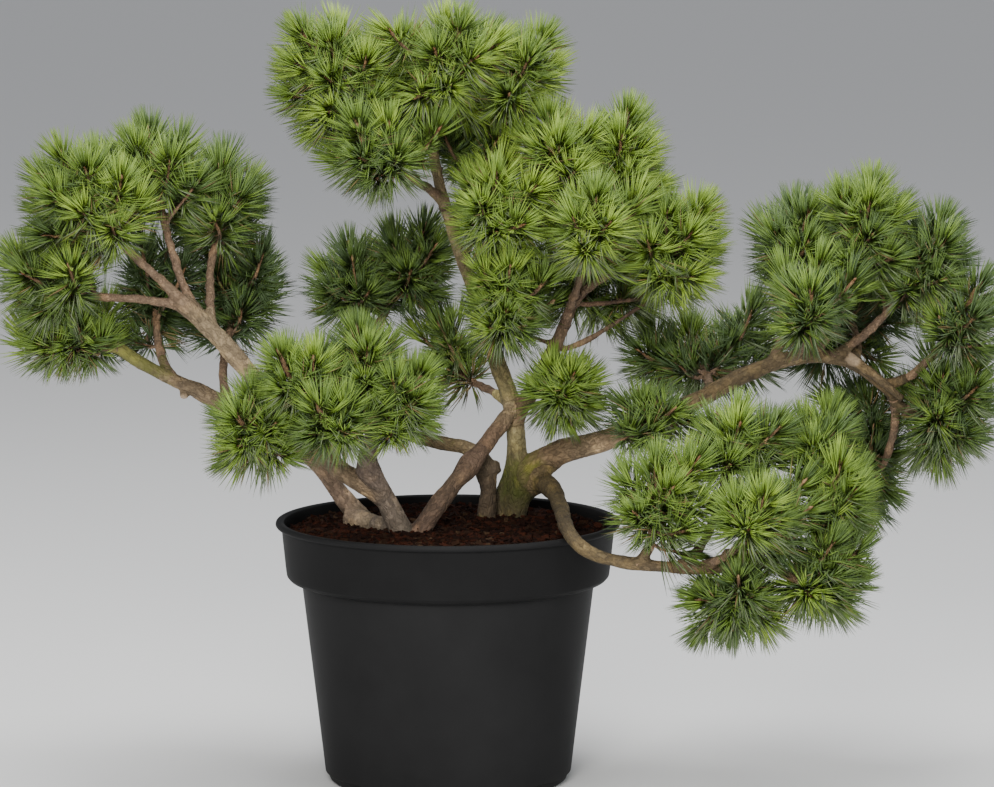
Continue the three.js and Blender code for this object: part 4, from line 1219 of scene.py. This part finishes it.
# bark chips and peat crumbs on the soil, and how many of each there are
chipKinds = [
    (0.42, "chip dark", (0.007, 0.0028, 0.0018), (0.019, 0.007, 0.004)),
    (0.36, "chip red", (0.017, 0.0050, 0.0026), (0.056, 0.016, 0.0075)),
    (0.18, "chip brown", (0.014, 0.0060, 0.0032), (0.038, 0.017, 0.0085)),
    (0.04, "chip tan", (0.034, 0.018, 0.010), (0.082, 0.046, 0.024)),
]


def buildChips():
    rng = np.random.default_rng(21)
    corners = np.array([(x, y, z) for x in (-1, 1) for y in (-1, 1) for z in (-1, 1)], dtype=float)
    box = np.array([(0, 1, 3), (0, 3, 2), (4, 6, 7), (4, 7, 5), (0, 4, 5), (0, 5, 1),
                    (2, 3, 7), (2, 7, 6), (0, 2, 6), (0, 6, 4), (1, 5, 7), (1, 7, 3)])
    shares = [kind[0] for kind in chipKinds]
    parts = []
    for _ in range(soil["chips"]):
        radius = (soil["radius"] - soil["chipEdge"]) * math.sqrt(rng.random())
        around = rng.random() * fullTurn
        x, y = radius * math.cos(around), radius * math.sin(around)
        size = rng.uniform(*soil["chipSizes"]) * (0.5 + 0.5 * rng.random())
        shape = corners * size * (1, rng.uniform(*soil["widths"]), rng.uniform(*soil["heights"]))
        shape = shape * (1 + soil["uneven"] * rng.normal(0, 1, (8, 1)).clip(-1, 1))
        turn = Matrix.Rotation(rng.random() * soil["spin"], 3, "Z")
        for axis, lean in soil["leans"]:
            turn = turn @ Matrix.Rotation(rng.normal(0, lean), 3, axis)
        verts = shape @ np.array(turn).T + (x, y, soilHeight(x, y) + size * soil["chipLift"])
        parts.append((verts, box, rng.choice(len(shares), p=shares)))
    materials = [soilMaterial(*kind[1:]) for kind in chipKinds]
    return meshFromArrays("soil_chips", *joinArrays(parts), materials, smooth=False)


finishPiece(buildSoil(), ["soil"])
finishPiece(buildChips())
print("soil laid")


# floor, light and camera

studio = {
    "floor": (0.80, 0.80, 0.79), "floorSize": 60, "sky": (0.93, 0.95, 1.0), "skyStrength": 0.44,
    "lights": [
        ("front", (-0.5, -4.6, 2.1), 1.8, 205, (1.0, 0.98, 0.94)),
        ("right", (3.2, -3.2, 2.2), 2.2, 45, (0.94, 0.97, 1.0)),
        ("top", (0.1, 0.0, 3.4), 2.4, 120, (1.0, 1.0, 1.0)),
    ],
    "aim": (0.05, 0.0, 0.55),
    "camera": (0.0568, -5.930, 1.227), "tilt": 7.445, "lens": 187.42,
}


def buildFloor():
    bm = bmesh.new()
    bmesh.ops.create_grid(bm, x_segments=1, y_segments=1, size=studio["floorSize"] / 2)
    floor = addPiece("floor", meshFromForm("floor", bm))
    floor.data.materials.append(newMaterial("floor paint", 0.9, Base_Color=(*studio["floor"], 1))[0])


buildFloor()
for name, place, size, power, colour in studio["lights"]:
    lamp = bpy.data.lights.new(name, "AREA")
    lamp.shape, lamp.size, lamp.energy, lamp.color = "DISK", size, power, colour
    holder = addPiece(name, lamp)
    holder.location = place
    holder.rotation_euler = (Vector(studio["aim"]) - Vector(place)).to_track_quat("-Z", "Y").to_euler()

world = bpy.data.worlds.new("studio sky")
world.use_nodes = True
sky = world.node_tree.nodes["Background"]
sky.inputs["Color"].default_value = (*studio["sky"], 1)
sky.inputs["Strength"].default_value = studio["skyStrength"]
bpy.context.scene.world = world

lens = bpy.data.cameras.new("camera")
lens.lens = studio["lens"]
lens.sensor_width = 36
lens.clip_end = 200
camera = addPiece("camera", lens)
camera.location = studio["camera"]
camera.rotation_euler = (math.radians(90 - studio["tilt"]), 0, 0)
bpy.context.scene.camera = camera
